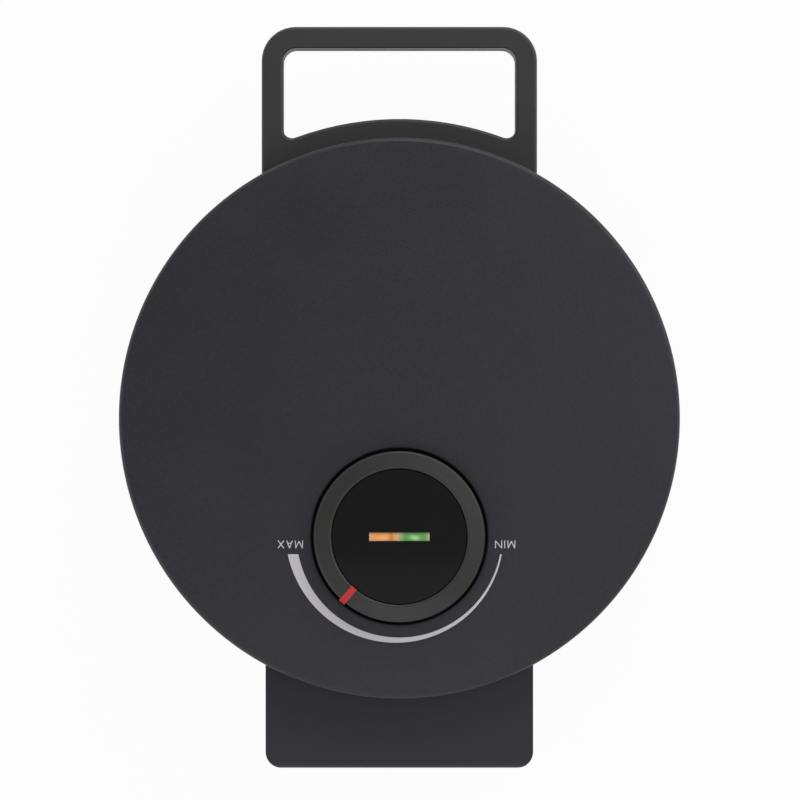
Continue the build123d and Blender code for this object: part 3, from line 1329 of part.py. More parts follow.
# Fixed cap of the knob, held by two legs that pass the knob's slot and hook under the well
with BuildPart() as knob_cap:
    with BuildSketch(radial_section(0, KNOB_Y)):
        with BuildLine():
            Polyline(
                (0, CAP_TOP_Z - CAP_T),
                (CAP_R - CAP_SKIRT_T, CAP_TOP_Z - CAP_T),
                (CAP_R - CAP_SKIRT_T, CAP_SKIRT_Z),
                (CAP_R, CAP_SKIRT_Z),
                (CAP_R, CAP_TOP_Z - CAP_DOME),
            )
            ThreePointArc(
                (CAP_R, CAP_TOP_Z - CAP_DOME),
                (CAP_R / 2, CAP_TOP_Z - CAP_DOME / 4),
                (0, CAP_TOP_Z),
            )
            Line((0, CAP_TOP_Z), (0, CAP_TOP_Z - CAP_T))
        make_face()
    revolve(axis=axis_at(KNOB_Y))
    with BuildSketch(at_knob(CAP_TOP_Z - CAP_T)):
        Rectangle(WINDOW_W + 2 * CONTACT, WINDOW_H + 2 * CONTACT)
    extrude(amount=2 * CAP_T, mode=Mode.SUBTRACT)
    for low, high in LEG_SPANS:
        with BuildSketch(at_knob(LEG_FOOT_Z)):
            Circle(LEG_OUT_R)
            Circle(LEG_IN_R, mode=Mode.SUBTRACT)
            add(sector(CAP_WEDGE / 2, low, high), mode=Mode.INTERSECT)
        extrude(amount=CAP_TOP_Z - CAP_T - LEG_FOOT_Z)
        with BuildSketch(at_knob(WELL_FLOOR_Z - WELL_FLOOR_T - FIT)):
            Circle(LEG_OUT_R + LEG_BARB)
            Circle(LEG_OUT_R - 1, mode=Mode.SUBTRACT)
            add(sector(CAP_WEDGE / 2, low, high), mode=Mode.INTERSECT)
        extrude(amount=-LEG_BARB_H)
keep(knob_cap, "knob_cap")

# Indicator: two coloured windows, the lamps under them and their tray
LENS_L = WINDOW_W / 2
for lens_name, lens_side in (("orange_lens", 1), ("green_lens", -1)):
    with BuildPart() as lens:
        with BuildSketch(at_knob(CAP_TOP_Z - CAP_T)):
            with Locations((lens_side * (LENS_L / 2), 0)):
                Rectangle(LENS_L, WINDOW_H)
        extrude(amount=CAP_T)
    keep(lens, lens_name)

HOLDER_TOP_Z = CAP_TOP_Z - CAP_T
with BuildPart() as lamp_holder:
    with BuildSketch(at_knob(HOLDER_Z)):
        Rectangle(HOLDER_W, HOLDER_D)
    extrude(amount=HOLDER_TOP_Z - HOLDER_Z)
    with BuildSketch(at_knob(HOLDER_TOP_Z)):
        for lamp_side in (1, -1):
            with Locations((lamp_side * HOLDER_W / 4, 0)):
                Rectangle(HOLDER_W / 2 - 1.5 * HOLDER_WALL, HOLDER_D - 2 * HOLDER_WALL)
    extrude(amount=HOLDER_Z + HOLDER_WALL - HOLDER_TOP_Z, mode=Mode.SUBTRACT)
    with BuildSketch(at_knob(HOLDER_Z)):
        with Locations((LEAD_X, -HOLDER_D / 2), (-LEAD_X, -HOLDER_D / 2)):
            Rectangle(LEAD_D + 2 * FIT, 2.2 * HOLDER_WALL)
    extrude(amount=HOLDER_TOP_Z - HOLDER_Z, mode=Mode.SUBTRACT)
keep(lamp_holder, "lamp_holder")

LAMP_Z = HOLDER_Z + HOLDER_WALL + LAMP_D / 2
with BuildPart() as indicator_lamps:
    for lamp_side in (1, -1):
        start = (lamp_side * (HOLDER_W / 4 + LAMP_L / 2), KNOB_Y, LAMP_Z)
        with BuildSketch(Plane(origin=start, z_dir=(-lamp_side, 0, 0))):
            Circle(LAMP_D / 2)
        extrude(amount=LAMP_L)
keep(indicator_lamps, "indicator_lamps")
# Thermal fuse on the back of the upper plate, under a riveted clip
FUSE_Z = PLATE_BACK_Z + CONTACT + FUSE_D / 2
with BuildPart() as thermal_fuse:
    with BuildSketch(Plane(origin=(FUSE_X - FUSE_L / 2, FUSE_Y, FUSE_Z), z_dir=(1, 0, 0))):
        Circle(FUSE_D / 2)
    extrude(amount=FUSE_L)
keep(thermal_fuse, "thermal_fuse")

CLIP_EARS = [(FUSE_X, FUSE_Y + side * FUSE_EAR) for side in (1, -1)]
with BuildPart() as fuse_clip:
    with BuildSketch(side_plane(FUSE_X - FUSE_CLIP_W / 2)):
        with Locations((FUSE_Y, FUSE_Z)):
            Circle(FUSE_D / 2 + CONTACT + FUSE_CLIP_T)
            Circle(FUSE_D / 2 + CONTACT, mode=Mode.SUBTRACT)
        with Locations((FUSE_Y, PLATE_BACK_Z + FUSE_CLIP_T / 2)):
            Rectangle(2 * FUSE_EAR + 5, FUSE_CLIP_T)
        with Locations((FUSE_Y, PLATE_BACK_Z)):
            Rectangle(FUSE_D + 2 * CONTACT, FUSE_D, mode=Mode.SUBTRACT)
        with Locations((FUSE_Y, PLATE_BACK_Z - FUSE_D)):
            Rectangle(4 * FUSE_EAR, 2 * FUSE_D, mode=Mode.SUBTRACT)
    extrude(amount=FUSE_CLIP_W)
    with BuildSketch(Plane.XY.offset(PLATE_BACK_Z)):
        with Locations(*CLIP_EARS):
            Circle(FUSE_RIVET_D / 2)
    extrude(amount=FUSE_CLIP_T, mode=Mode.SUBTRACT)
keep(fuse_clip, "fuse_clip")

with BuildPart() as fuse_clip_rivets:
    for x, y in CLIP_EARS:
        with BuildSketch(Plane.XY.offset(PLATE_BACK_Z)):
            with Locations((x, y)):
                Circle(FUSE_RIVET_D / 2 - CONTACT)
        extrude(amount=FUSE_CLIP_T)
        with BuildSketch(Plane.XY.offset(PLATE_BACK_Z + FUSE_CLIP_T)):
            with Locations((x, y)):
                Circle(FUSE_RIVET_HEAD_D / 2)
        extrude(amount=FUSE_CLIP_T)
keep(fuse_clip_rivets, "fuse_clip_rivets")

# Sheathed leads that meet end to end on the hinge axis, and the wires on each side
FLEX_Y = HINGE_Y - KNUCKLE_R - 1
FLEX_END_Y = BODY_Y + PLATE_R - FLEX_INSET
WIRE_Z = PLATE_BACK_Z + ELEMENT_D + WIRE_D / 2 + FIT
LOW_WIRE_Z = 2 * PARTING_Z - ELEMENT_Z
first, second = sorted(TERMINALS, key=lambda t: t.X)
pin_top = ELEMENT_Z + PIN_D / 2 + WIRE_D / 2 + CONTACT
with BuildPart() as lid_leads:
    add(
        tube(
            FLEX_D,
            [
                (0, HINGE_Y, HINGE_Z),
                (FLEX_OUT, HINGE_Y, HINGE_Z),
                (FLEX_OUT, HINGE_Y, FLEX_Z),
                (FLEX_OUT, FLEX_END_Y, FLEX_Z),
            ],
            4.0,
        )
    )
    add(
        tube(
            WIRE_D,
            [
                (FLEX_OUT + 1.1, FLEX_END_Y, FLEX_Z),
                (FLEX_OUT + 1.5, FLEX_END_Y - 8, FLEX_Z),
                (STACK_X - 2, KNOB_Y + 28, WIRE_Z),
                (STACK_X, KNOB_Y + TAB_Y - 3, WIRE_Z),
            ],
            3.0,
        )
    )
    add(
        tube(
            WIRE_D,
            [
                (FLEX_OUT - 1.1, FLEX_END_Y, FLEX_Z),
                (FLEX_OUT - 2, FLEX_END_Y - 10, FLEX_Z + 1),
                (1, KNOB_Y + 27, WIRE_Z),
                (-14, KNOB_Y + 10, WIRE_Z),
                (second.X, second.Y, pin_top),
            ],
            3.0,
        )
    )
    add(
        tube(
            WIRE_D,
            [
                (STACK_X, KNOB_Y - TAB_Y + 1, UPPER_LEAF_Z - WIRE_D / 2 - CONTACT),
                (STACK_X, KNOB_Y - TAB_Y - 5, UPPER_LEAF_Z - WIRE_D / 2 - CONTACT),
                (FUSE_X + FUSE_L / 2 + 9, FUSE_Y, FUSE_Z),
                (FUSE_X + FUSE_L / 2, FUSE_Y, FUSE_Z),
            ],
            3.0,
        )
    )
    add(
        tube(
            WIRE_D,
            [
                (FUSE_X - FUSE_L / 2, FUSE_Y, FUSE_Z),
                (FUSE_X - FUSE_L / 2 - 4, FUSE_Y, FUSE_Z),
                (FUSE_X - FUSE_L / 2 - 11, FUSE_Y + 1, pin_top),
                (first.X, first.Y, pin_top),
            ],
            3.0,
        )
    )
keep(lid_leads, "lid_leads")

with BuildPart() as base_leads:
    add(
        tube(
            FLEX_D,
            [
                (0, HINGE_Y, HINGE_Z),
                (-FLEX_OUT, HINGE_Y, HINGE_Z),
                (-FLEX_OUT, FLEX_Y, HINGE_Z),
                (-FLEX_OUT, FLEX_Y, CEILING_Z - FLEX_D),
                (BLOCK_X - BLOCK_W / 2, FLEX_Y, CEILING_Z - FLEX_D),
            ],
            3.3,
        )
    )
    for wire_x, terminal in ((BLOCK_X + WIRE_X, second), (BLOCK_X - WIRE_X, first)):
        add(
            tube(
                WIRE_D,
                [
                    (wire_x, BLOCK_Y - BLOCK_D / 2, PASS_Z),
                    (wire_x, HOLLOW_Y0 - WIRE_TURN, PASS_Z),
                    (terminal.X, terminal.Y, PASS_Z),
                    (terminal.X, terminal.Y, LOW_WIRE_Z - PIN_D / 2 - CONTACT),
                ],
                2.0,
            )
        )
keep(base_leads, "base_leads")

with BuildPart() as lamp_leads:
    for side, last in (
        (1, (STACK_X, KNOB_Y - TAB_Y - 0.5, UPPER_LEAF_Z + STRIP_T + LEAD_D / 2 + CONTACT)),
        (-1, (FUSE_X, FUSE_Y + 3, FUSE_Z + FUSE_D / 2 + FUSE_CLIP_T + LEAD_D / 2 + 2 * CONTACT)),
    ):
        add(
            tube(
                LEAD_D,
                [
                    (side * LEAD_X, KNOB_Y - LAMP_D / 2 - CONTACT, LAMP_Z),
                    (side * LEAD_X, KNOB_Y - (LEG_IN_R + LEG_OUT_R) / 2, LAMP_Z),
                    (side * LEAD_X, KNOB_Y - (LEG_IN_R + LEG_OUT_R) / 2, LEG_FOOT_Z - 2),
                    last,
                ],
                2.0,
            )
        )
keep(lamp_leads, "lamp_leads")
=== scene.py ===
"""Looks of a round heart waffle maker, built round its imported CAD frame.

Mesh points, the panel's sizes and the stage's places are in metres. Outlines are worked
out in millimetres, as are the constants in capitals that aren't written as a number
times MM.
"""

import json
import math

import bpy
import numpy as np
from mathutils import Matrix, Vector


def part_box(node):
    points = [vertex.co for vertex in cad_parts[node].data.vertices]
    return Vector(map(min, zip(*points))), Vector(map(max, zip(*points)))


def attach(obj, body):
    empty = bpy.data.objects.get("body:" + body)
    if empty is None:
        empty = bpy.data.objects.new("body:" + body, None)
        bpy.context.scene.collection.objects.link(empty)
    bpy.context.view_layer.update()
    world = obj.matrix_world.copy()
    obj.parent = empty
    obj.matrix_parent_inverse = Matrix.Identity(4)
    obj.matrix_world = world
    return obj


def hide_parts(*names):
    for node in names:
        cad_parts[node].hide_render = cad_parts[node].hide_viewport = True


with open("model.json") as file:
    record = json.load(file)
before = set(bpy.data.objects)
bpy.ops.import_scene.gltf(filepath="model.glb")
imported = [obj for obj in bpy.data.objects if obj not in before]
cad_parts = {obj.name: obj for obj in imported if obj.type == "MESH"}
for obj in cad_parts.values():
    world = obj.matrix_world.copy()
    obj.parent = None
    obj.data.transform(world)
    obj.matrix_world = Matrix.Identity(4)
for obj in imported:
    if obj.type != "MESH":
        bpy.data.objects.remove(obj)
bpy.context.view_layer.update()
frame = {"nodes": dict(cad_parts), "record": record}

bl_info = {
    "name": "Heart waffle maker",
    "version": (1, 0, 0),
    "blender": (4, 5, 0),
    "location": "3D View > Sidebar > Waffle Maker",
    "description": "Builds the visible surfaces and finishes of a heart waffle maker",
    "category": "Object",
}

MM = 0.001
LID_LOW, LID_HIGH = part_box("lid_cover")
KNOB_LOW, KNOB_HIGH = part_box("control_knob")
BODY_Y_MM = (LID_LOW.y + LID_HIGH.y) / 2 / MM
KNOB_Y_MM = (KNOB_LOW.y + KNOB_HIGH.y) / 2 / MM
WELL_GAP = 0.9 * MM


def linear(code):
    """Turn an sRGB hex code into linear red, green, blue and alpha."""
    value = np.array([int(code[i : i + 2], 16) for i in (0, 2, 4)]) / 255
    flat = np.where(value <= 0.04045, value / 12.92, ((value + 0.055) / 1.055) ** 2.4)
    return (*(float(x) for x in flat), 1.0)


# ---- meshes ----

# Edges that turn by more than this stay sharp
SHARP = math.radians(38)


def skin(name, grid, wrap=(True, True), caps=(False, False)):
    """Cover a grid of points (around, along, xyz) in millimetres with faces.

    wrap joins the last row to the first, around and along. caps closes the first and
    last ring of an unwrapped length with a fan round its middle. The faces are turned
    so that the enclosed volume is positive.
    """
    around, along = grid.shape[:2]
    index = np.arange(around * along).reshape(around, along)
    row = np.arange(around if wrap[0] else around - 1)
    column = np.arange(along if wrap[1] else along - 1)
    below, beside = (row + 1) % around, (column + 1) % along
    quads = np.stack(
        (
            index[np.ix_(row, column)],
            index[np.ix_(below, column)],
            index[np.ix_(below, beside)],
            index[np.ix_(row, beside)],
        ),
        -1,
    ).reshape(-1, 4)
    points = grid.reshape(-1, 3) * MM
    fans = []
    for wanted, end, turn in ((caps[0], 0, 1), (caps[1], along - 1, -1)):
        if wanted:
            middle = len(points)
            points = np.vstack((points, points[index[:, end]].mean(0)))
            edge = np.stack((index[row, end], index[below, end]), -1)[:, ::turn]
            fans.append(np.column_stack((edge, np.full(len(edge), middle))))
    fan = np.vstack(fans) if fans else np.zeros((0, 3), int)
    corner = points[quads]
    first, second = np.cross(corner[:, 1], corner[:, 2]), np.cross(corner[:, 2], corner[:, 3])
    volume = (corner[:, 0] * (first + second)).sum()
    volume += (points[fan[:, 0]] * np.cross(points[fan[:, 1]], points[fan[:, 2]])).sum()
    made = solid(name, points, quads.tolist() + fan.tolist())
    if volume < 0:
        made.data.flip_normals()
    made.data.shade_smooth()
    made.data.set_sharp_from_angle(angle=SHARP)
    return made


def solid(name, points, faces):
    """Object of points in metres and faces, linked to the scene."""
    mesh = bpy.data.meshes.new(name)
    mesh.from_pydata(points.tolist(), [], faces)
    mesh.update()
    made = bpy.data.objects.new(name, mesh)
    bpy.context.scene.collection.objects.link(made)
    return made


def dress(piece, body, finish_name, replaces=()):
    """Give a finished piece its material, its CAD body and the nodes it stands for."""
    piece.data.materials.append(MATERIALS[finish_name])
    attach(piece, body)
    if replaces:
        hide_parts(*replaces)


def dome_ball(sizes):
    """Radius in mm of the dome's sphere, from its rise between shoulder and crown."""
    rim = (sizes.body_radius - sizes.shoulder_radius) / MM
    rise = (sizes.crown_height - sizes.shoulder_height) / MM
    return (rim**2 + rise**2) / (2 * rise)


def dome_height(x, y, sizes):
    """Height in mm of the lid's outside at (x, y): the sphere under the crown."""
    ball = dome_ball(sizes)
    return sizes.crown_height / MM - ball + np.sqrt(ball**2 - x**2 - (y - BODY_Y_MM) ** 2)


# ---- materials ----

# Sockets of the Mix node's colours, by index because its names repeat
MIX_A, MIX_B, MIX_OUT = 6, 7, 2
# The part of a noise's range that holds nearly all of it
MIDDLE = {"From Min": 0.3, "From Max": 0.7}
# Size of the slow change in roughness
DRIFT = 40 * MM
# Grain of a smooth tool and of a spark-eroded one
EVEN, SPARK = 0.5, 0.7
# Where the frame's colour has turned from the handle's to the lid's
REAR_TONE_Y = 80 * MM
# Painted shade along both lenses' edges: dark brown, heaviest on the front edge
LENS_EDGE_SHADE = "2a2018"


def node(tree, kind, inputs=None, **settings):
    """Add one shader node with its settings; inputs hold values or links by socket."""
    made = tree.nodes.new("ShaderNode" + kind)
    for key, value in settings.items():
        setattr(made, key, value)
    for key, value in (inputs or {}).items():
        if isinstance(value, bpy.types.NodeSocket):
            tree.links.new(value, made.inputs[key])
        else:
            made.inputs[key].default_value = value
    return made


def finish(name, shades, roughness, grain_mm, depth_mm, detail=2.0, **sockets):
    """Material with a real grain: fine noise of grain_mm for colour and bump.

    shades are two linear colours that the fine grain mixes. roughness is a pair that a
    slow drift over DRIFT moves between. grain_mm is one size, or one for x, y and z.
    depth_mm is the height of the grain. sockets are constant values of the shader.
    """
    material = bpy.data.materials.new(name)
    material.use_nodes = True
    tree = material.node_tree
    tree.nodes.clear()
    place = node(tree, "TexCoord").outputs["Object"]
    scale = tuple(1 / (MM * np.broadcast_to(grain_mm, 3)))
    fine = node(tree, "Mapping", {"Vector": place, "Scale": scale}).outputs["Vector"]
    grain = node(tree, "TexNoise", {"Vector": fine, "Scale": 1.0, "Detail": detail})
    slow = node(tree, "TexNoise", {"Vector": place, "Scale": 1 / DRIFT, "Detail": 3.0})
    spread = node(tree, "MapRange", {"Value": grain.outputs["Fac"], **MIDDLE})
    shade = {"Factor": spread.outputs["Result"], MIX_A: shades[0], MIX_B: shades[1]}
    colour = node(tree, "Mix", shade, data_type="RGBA")
    ends = {"To Min": roughness[0], "To Max": roughness[1]}
    rough = node(tree, "MapRange", {"Value": slow.outputs["Fac"], **MIDDLE, **ends})
    bump = node(tree, "Bump", {"Height": grain.outputs["Fac"], "Distance": depth_mm * MM})
    surface = node(
        tree,
        "BsdfPrincipled",
        {
            "Base Color": colour.outputs[MIX_OUT],
            "Roughness": rough.outputs["Result"],
            "Normal": bump.outputs["Normal"],
            **sockets,
        },
    )
    node(tree, "OutputMaterial", {"Surface": surface.outputs["BSDF"]})
    return material


def tone(colour, lift):
    """A chosen colour and the same one lifted by a share, for the grain to mix."""
    return (*colour, 1.0), (*(part * (1 + lift) for part in colour), 1.0)


def part_of(material, kind):
    """The material's one node of a kind."""
    return next(made for made in material.node_tree.nodes if made.type == kind)


def tint(material, weight, colour):
    """Mix colour over what feeds the shader's base colour, by the weight socket."""
    tree = material.node_tree
    base = part_of(material, "BSDF_PRINCIPLED").inputs["Base Color"]
    shade = {"Factor": weight, MIX_A: base.links[0].from_socket, MIX_B: colour}
    over = node(tree, "Mix", shade, data_type="RGBA")
    tree.links.new(over.outputs[MIX_OUT], base)


def lens(name, body, deep, pale, painted_highlight):
    """Tinted ribbed lens over its lamp: the piece's attributes mix its four colours, the last
    two a painted highlight and painted shade along its edges.
    """
    material = finish(name, tone(body, 0.0), (0.2, 0.28), EVEN, 0.004, IOR=1.58)
    for attribute, code in (
        ("deep", deep),
        ("pale", pale),
        # The next colour is a painted highlight
        ("painted_highlight", painted_highlight),
        # Painted shade along the lens's edges
        ("rim", LENS_EDGE_SHADE),
    ):
        weight = node(material.node_tree, "Attribute", attribute_name=attribute).outputs["Fac"]
        tint(material, weight, linear(code))
    return material


def frame_finish(handle, lid):
    """Charcoal of the handle that turns to the lid's colour over the rear tongue."""
    material = finish("polyester_fine_satin", tone(handle, 0.35), (0.42, 0.5), EVEN, 0.01)
    tree = material.node_tree
    place = node(tree, "TexCoord").outputs["Object"]
    along = node(tree, "SeparateXYZ", {"Vector": place}).outputs["Y"]
    rear = {"Value": along, "From Min": 0.0, "From Max": REAR_TONE_Y}
    tint(material, node(tree, "MapRange", rear).outputs["Result"], tone(lid, 0.6)[1])
    return material


def finishes(colours):
    """Every material by its record slot, or by its own name where there is no slot."""
    made = {
        # Heat-resistant polyester with a spark-eroded mould grain: dull, faintly blue black
        "lid_plastic": finish(
            "polyester_spark_eroded", tone(colours.lid, 0.9), (0.44, 0.52), SPARK, 0.03
        ),
        # The same resin from a smoother tool: even charcoal with soft highlights
        "handle_plastic": frame_finish(colours.handle, colours.lid),
        "housing_plastic": finish(
            "polyester_housing_grain", tone(colours.handle, 0.35), (0.46, 0.54), SPARK, 0.02
        ),
        # Glass-filled polyamide, moulded satin: slightly warm grey-black
        "knob_plastic": finish(
            "polyamide_moulded_satin", tone(colours.knob, 0.4), (0.4, 0.46), EVEN, 0.006
        ),
        # Acrylic moulded in a polished tool: deep black with a clear reflection
        "gloss_cap": finish(
            "acrylic_polished_black", tone(colours.cap, 0.3), (0.07, 0.1), 6.0, 0.0008
        ),
        # Red polyamide insert, smooth from the tool
        "pointer_plastic": finish(
            "polyamide_moulded_red", tone(colours.pointer, 0.15), (0.34, 0.42), EVEN, 0.006
        ),
        # Ribbed polycarbonate over a lamp: clear at the ends, deep near the middle. The last
        # colour is a painted highlight; painted shade darkens the lens's edges
        "orange_window": lens(
            "polycarbonate_ribbed_orange", colours.orange, "c47e26", "c8b090", "f6ac72"
        ),
        "green_window": lens(
            "polycarbonate_ribbed_green", colours.green, "4c9340", "a9b58c", "a2d694"
        ),
        # Pad-printed silver-grey ink: flat, faintly uneven
        "scale_ink": finish(
            "ink_pad_printed", tone(colours.ink, 0.08), (0.42, 0.5), 0.6, 0.003
        ),
        # Blown glass of the neon lamps: clear and thin
        "lamp_glass": finish(
            "soda_glass_blown",
            (linear("e6e8e6"), linear("f2f3f1")),
            (0.03, 0.06),
            3.0,
            0.001,
            **{"IOR": 1.52, "Transmission Weight": 0.7},
        ),
    }
    table = (
        # Thermoplastic rubber and soft vinyl: dead matt, they pick up dust
        ("foot_rubber", "thermoplastic_rubber_moulded", "1a1a1a", "262625", 0.78, EVEN, 0.02),
        ("gland_rubber", "soft_vinyl_moulded", "171717", "1f1f1f", 0.6, EVEN, 0.01),
        # Sprayed and baked non-stick coat on cast aluminium: orange peel, pale flecks
        ("nonstick_casting", "aluminium_nonstick_coat", "202022", "3a3a3c", 0.32, EVEN, 0.03),
        # Natural polyamide: milky, waxy, a little yellow
        ("terminal_plastic", "polyamide_natural", "d8d3c2", "e2ded0", 0.4, EVEN, 0.008),
        # Steatite, pressed and fired: chalky white with grey specks
        ("white_ceramic", "steatite_fired", "cfccc4", "e4e1da", 0.6, 0.6, 0.015),
        # Extruded silicone rubber: satin, soft edge light
        ("silicone_leads", "silicone_rubber_extruded", "b8b4aa", "c6c2b8", 0.5, 3.0, 0.006),
    )
    metals = (
        # Annealed nickel-steel sheath: olive-grey oxide
        ("element_sheath", "nickel_steel_oxidised", "3f403b", "5b584e", 0.4, 1.5, 0.01),
        # Cold-rolled steel with a bright zinc plate: cool grey, faint roll direction
        ("zinc_sheet", "rolled_steel_zinc", "a7adb2", "bcc0c3", 0.3, (0.25, 6.0, 6.0), 0.004),
        ("zinc_screws", "turned_steel_zinc", "a3a9af", "c0c3c5", 0.25, (0.4, 0.4, 0.15), 0.004),
        # Aluminised sheet: bright and slightly hammered from the coating bath
        ("bright_sheet", "aluminised_steel_sheet", "b4b5b4", "c8c8c6", 0.2, 2.0, 0.01),
        # Free-cutting steel: turning rings too fine to count, a grey sheen along x
        ("steel_pins", "steel_turned", "8f9092", "a9aaab", 0.22, (0.15, 2.0, 2.0), 0.003),
        # Oil-tempered strip: dark straw-blue
        ("spring_steel", "strip_oil_tempered", "4a4a50", "5f5c57", 0.3, (0.3, 3.0, 3.0), 0.003),
        # Brass, turned or stamped: warm yellow with a fine tool grain
        ("brass_fittings", "brass_turned", "b08d4a", "c7a45e", 0.25, (0.3, 0.3, 0.12), 0.003),
        # Rolled two-metal strip and drawn aluminium: lengthwise grain
        ("bimetal", "bimetal_rolled_strip", "8d867c", "a39c91", 0.28, (4.0, 0.3, 4.0), 0.003),
        ("fuse_case", "aluminium_drawn", "b9babc", "cfd0d1", 0.25, (4.0, 0.3, 0.3), 0.003),
    )
    for rows, metallic in ((table, 0.0), (metals, 1.0)):
        for slot, name, dark, light, rough, grain_mm, depth_mm in rows:
            shades = linear(dark), linear(light)
            made[slot] = finish(
                name, shades, (rough, rough + 0.1), grain_mm, depth_mm, Metallic=metallic
            )
    return made


# ---- operators ----


def length(name, description, default):
    """A size in metres that the panel shows as a length."""
    return bpy.props.FloatProperty(
        name=name, description=description, default=default, unit="LENGTH"
    )


def colour(name, description, code):
    """A linear colour that the panel shows as a swatch."""
    return bpy.props.FloatVectorProperty(
        name=name, description=description, default=linear(code)[:3], subtype="COLOR"
    )


class WaffleSizes(bpy.types.PropertyGroup):
    """Sizes of the surfaces that this file adds to the CAD frame."""

    body_radius: length("Body radius", "Radius of the round lid", (LID_HIGH.x - LID_LOW.x) / 2)
    crown_height: length("Crown height", "Top of the lid's dome", LID_HIGH.z)
    shoulder_height: length("Shoulder height", "Dome height at its rim", 80 * MM)
    shoulder_radius: length("Shoulder radius", "Rounding of the lid's edge", 1.8 * MM)
    seam_height: length("Seam height", "Bottom edge of the lid cover", 70 * MM)
    wall: length("Wall", "Wall thickness of the lid cover", 2.5 * MM)
    well_radius: length(
        "Well radius", "Radius of the knob's well", (KNOB_HIGH.x - KNOB_LOW.x) / 2 + WELL_GAP
    )
    well_floor: length("Well floor", "Height of the well's floor", 79 * MM)
    scale_radius: length("Scale radius", "Inner radius of the printed scale", 38.34 * MM)
    scale_start: length("Scale start", "Width of the scale at its low end", 0.6 * MM)
    scale_end: length("Scale end", "Width of the scale at its high end", 3.92 * MM)
    letter_height: length("Letter height", "Height of the printed words", 2.7 * MM)


class WaffleColours(bpy.types.PropertyGroup):
    """Colours of the outside pieces."""

    lid: colour("Lid", "Lid cover and rear tongue", "19181f")
    handle: colour("Handle", "Handle and base housing", "2c2c2c")
    knob: colour("Knob", "Ring of the control knob", "232322")
    cap: colour("Cap", "Glossy centre of the knob", "0b0908")
    pointer: colour("Pointer", "Red mark on the knob", "b4222a")
    orange: colour("Orange lens", "Heating half of the lamp window", "e99d52")
    green: colour("Green lens", "Ready half of the lamp window", "5b9846")
    ink: colour("Ink", "Printed scale and its words", "c7c4ca")


class WAFFLE_OT_finishes(bpy.types.Operator):
    """Make every finish and give each carried-over CAD node its own"""

    bl_idname = "waffle.finishes"
    bl_label = "Finishes"

    def execute(self, context):
        """A node takes the finish of the record's material slot that it names."""
        MATERIALS.update(finishes(context.scene.waffle_colours))
        slots = {part["node"]: part["material_slot"] for part in frame["record"]["subparts"]}
        missing = sorted(set(frame["nodes"]) - set(slots))
        if missing:
            raise RuntimeError(f"no material slot holds {missing}")
        for name, piece in frame["nodes"].items():
            piece.data.materials.clear()
            piece.data.materials.append(MATERIALS[slots[name]])
        return {"FINISHED"}


SPINDLE_HOLE_R, WELL_ROUND, LIP_R, SKIRT_ROUND = 4.2, 0.5, 0.7, 0.5
# Points round the cover, and rows over the dome's outside and inside
COVER_ROUND, COVER_OUT_ROWS, COVER_IN_ROWS = 288, 42, 10


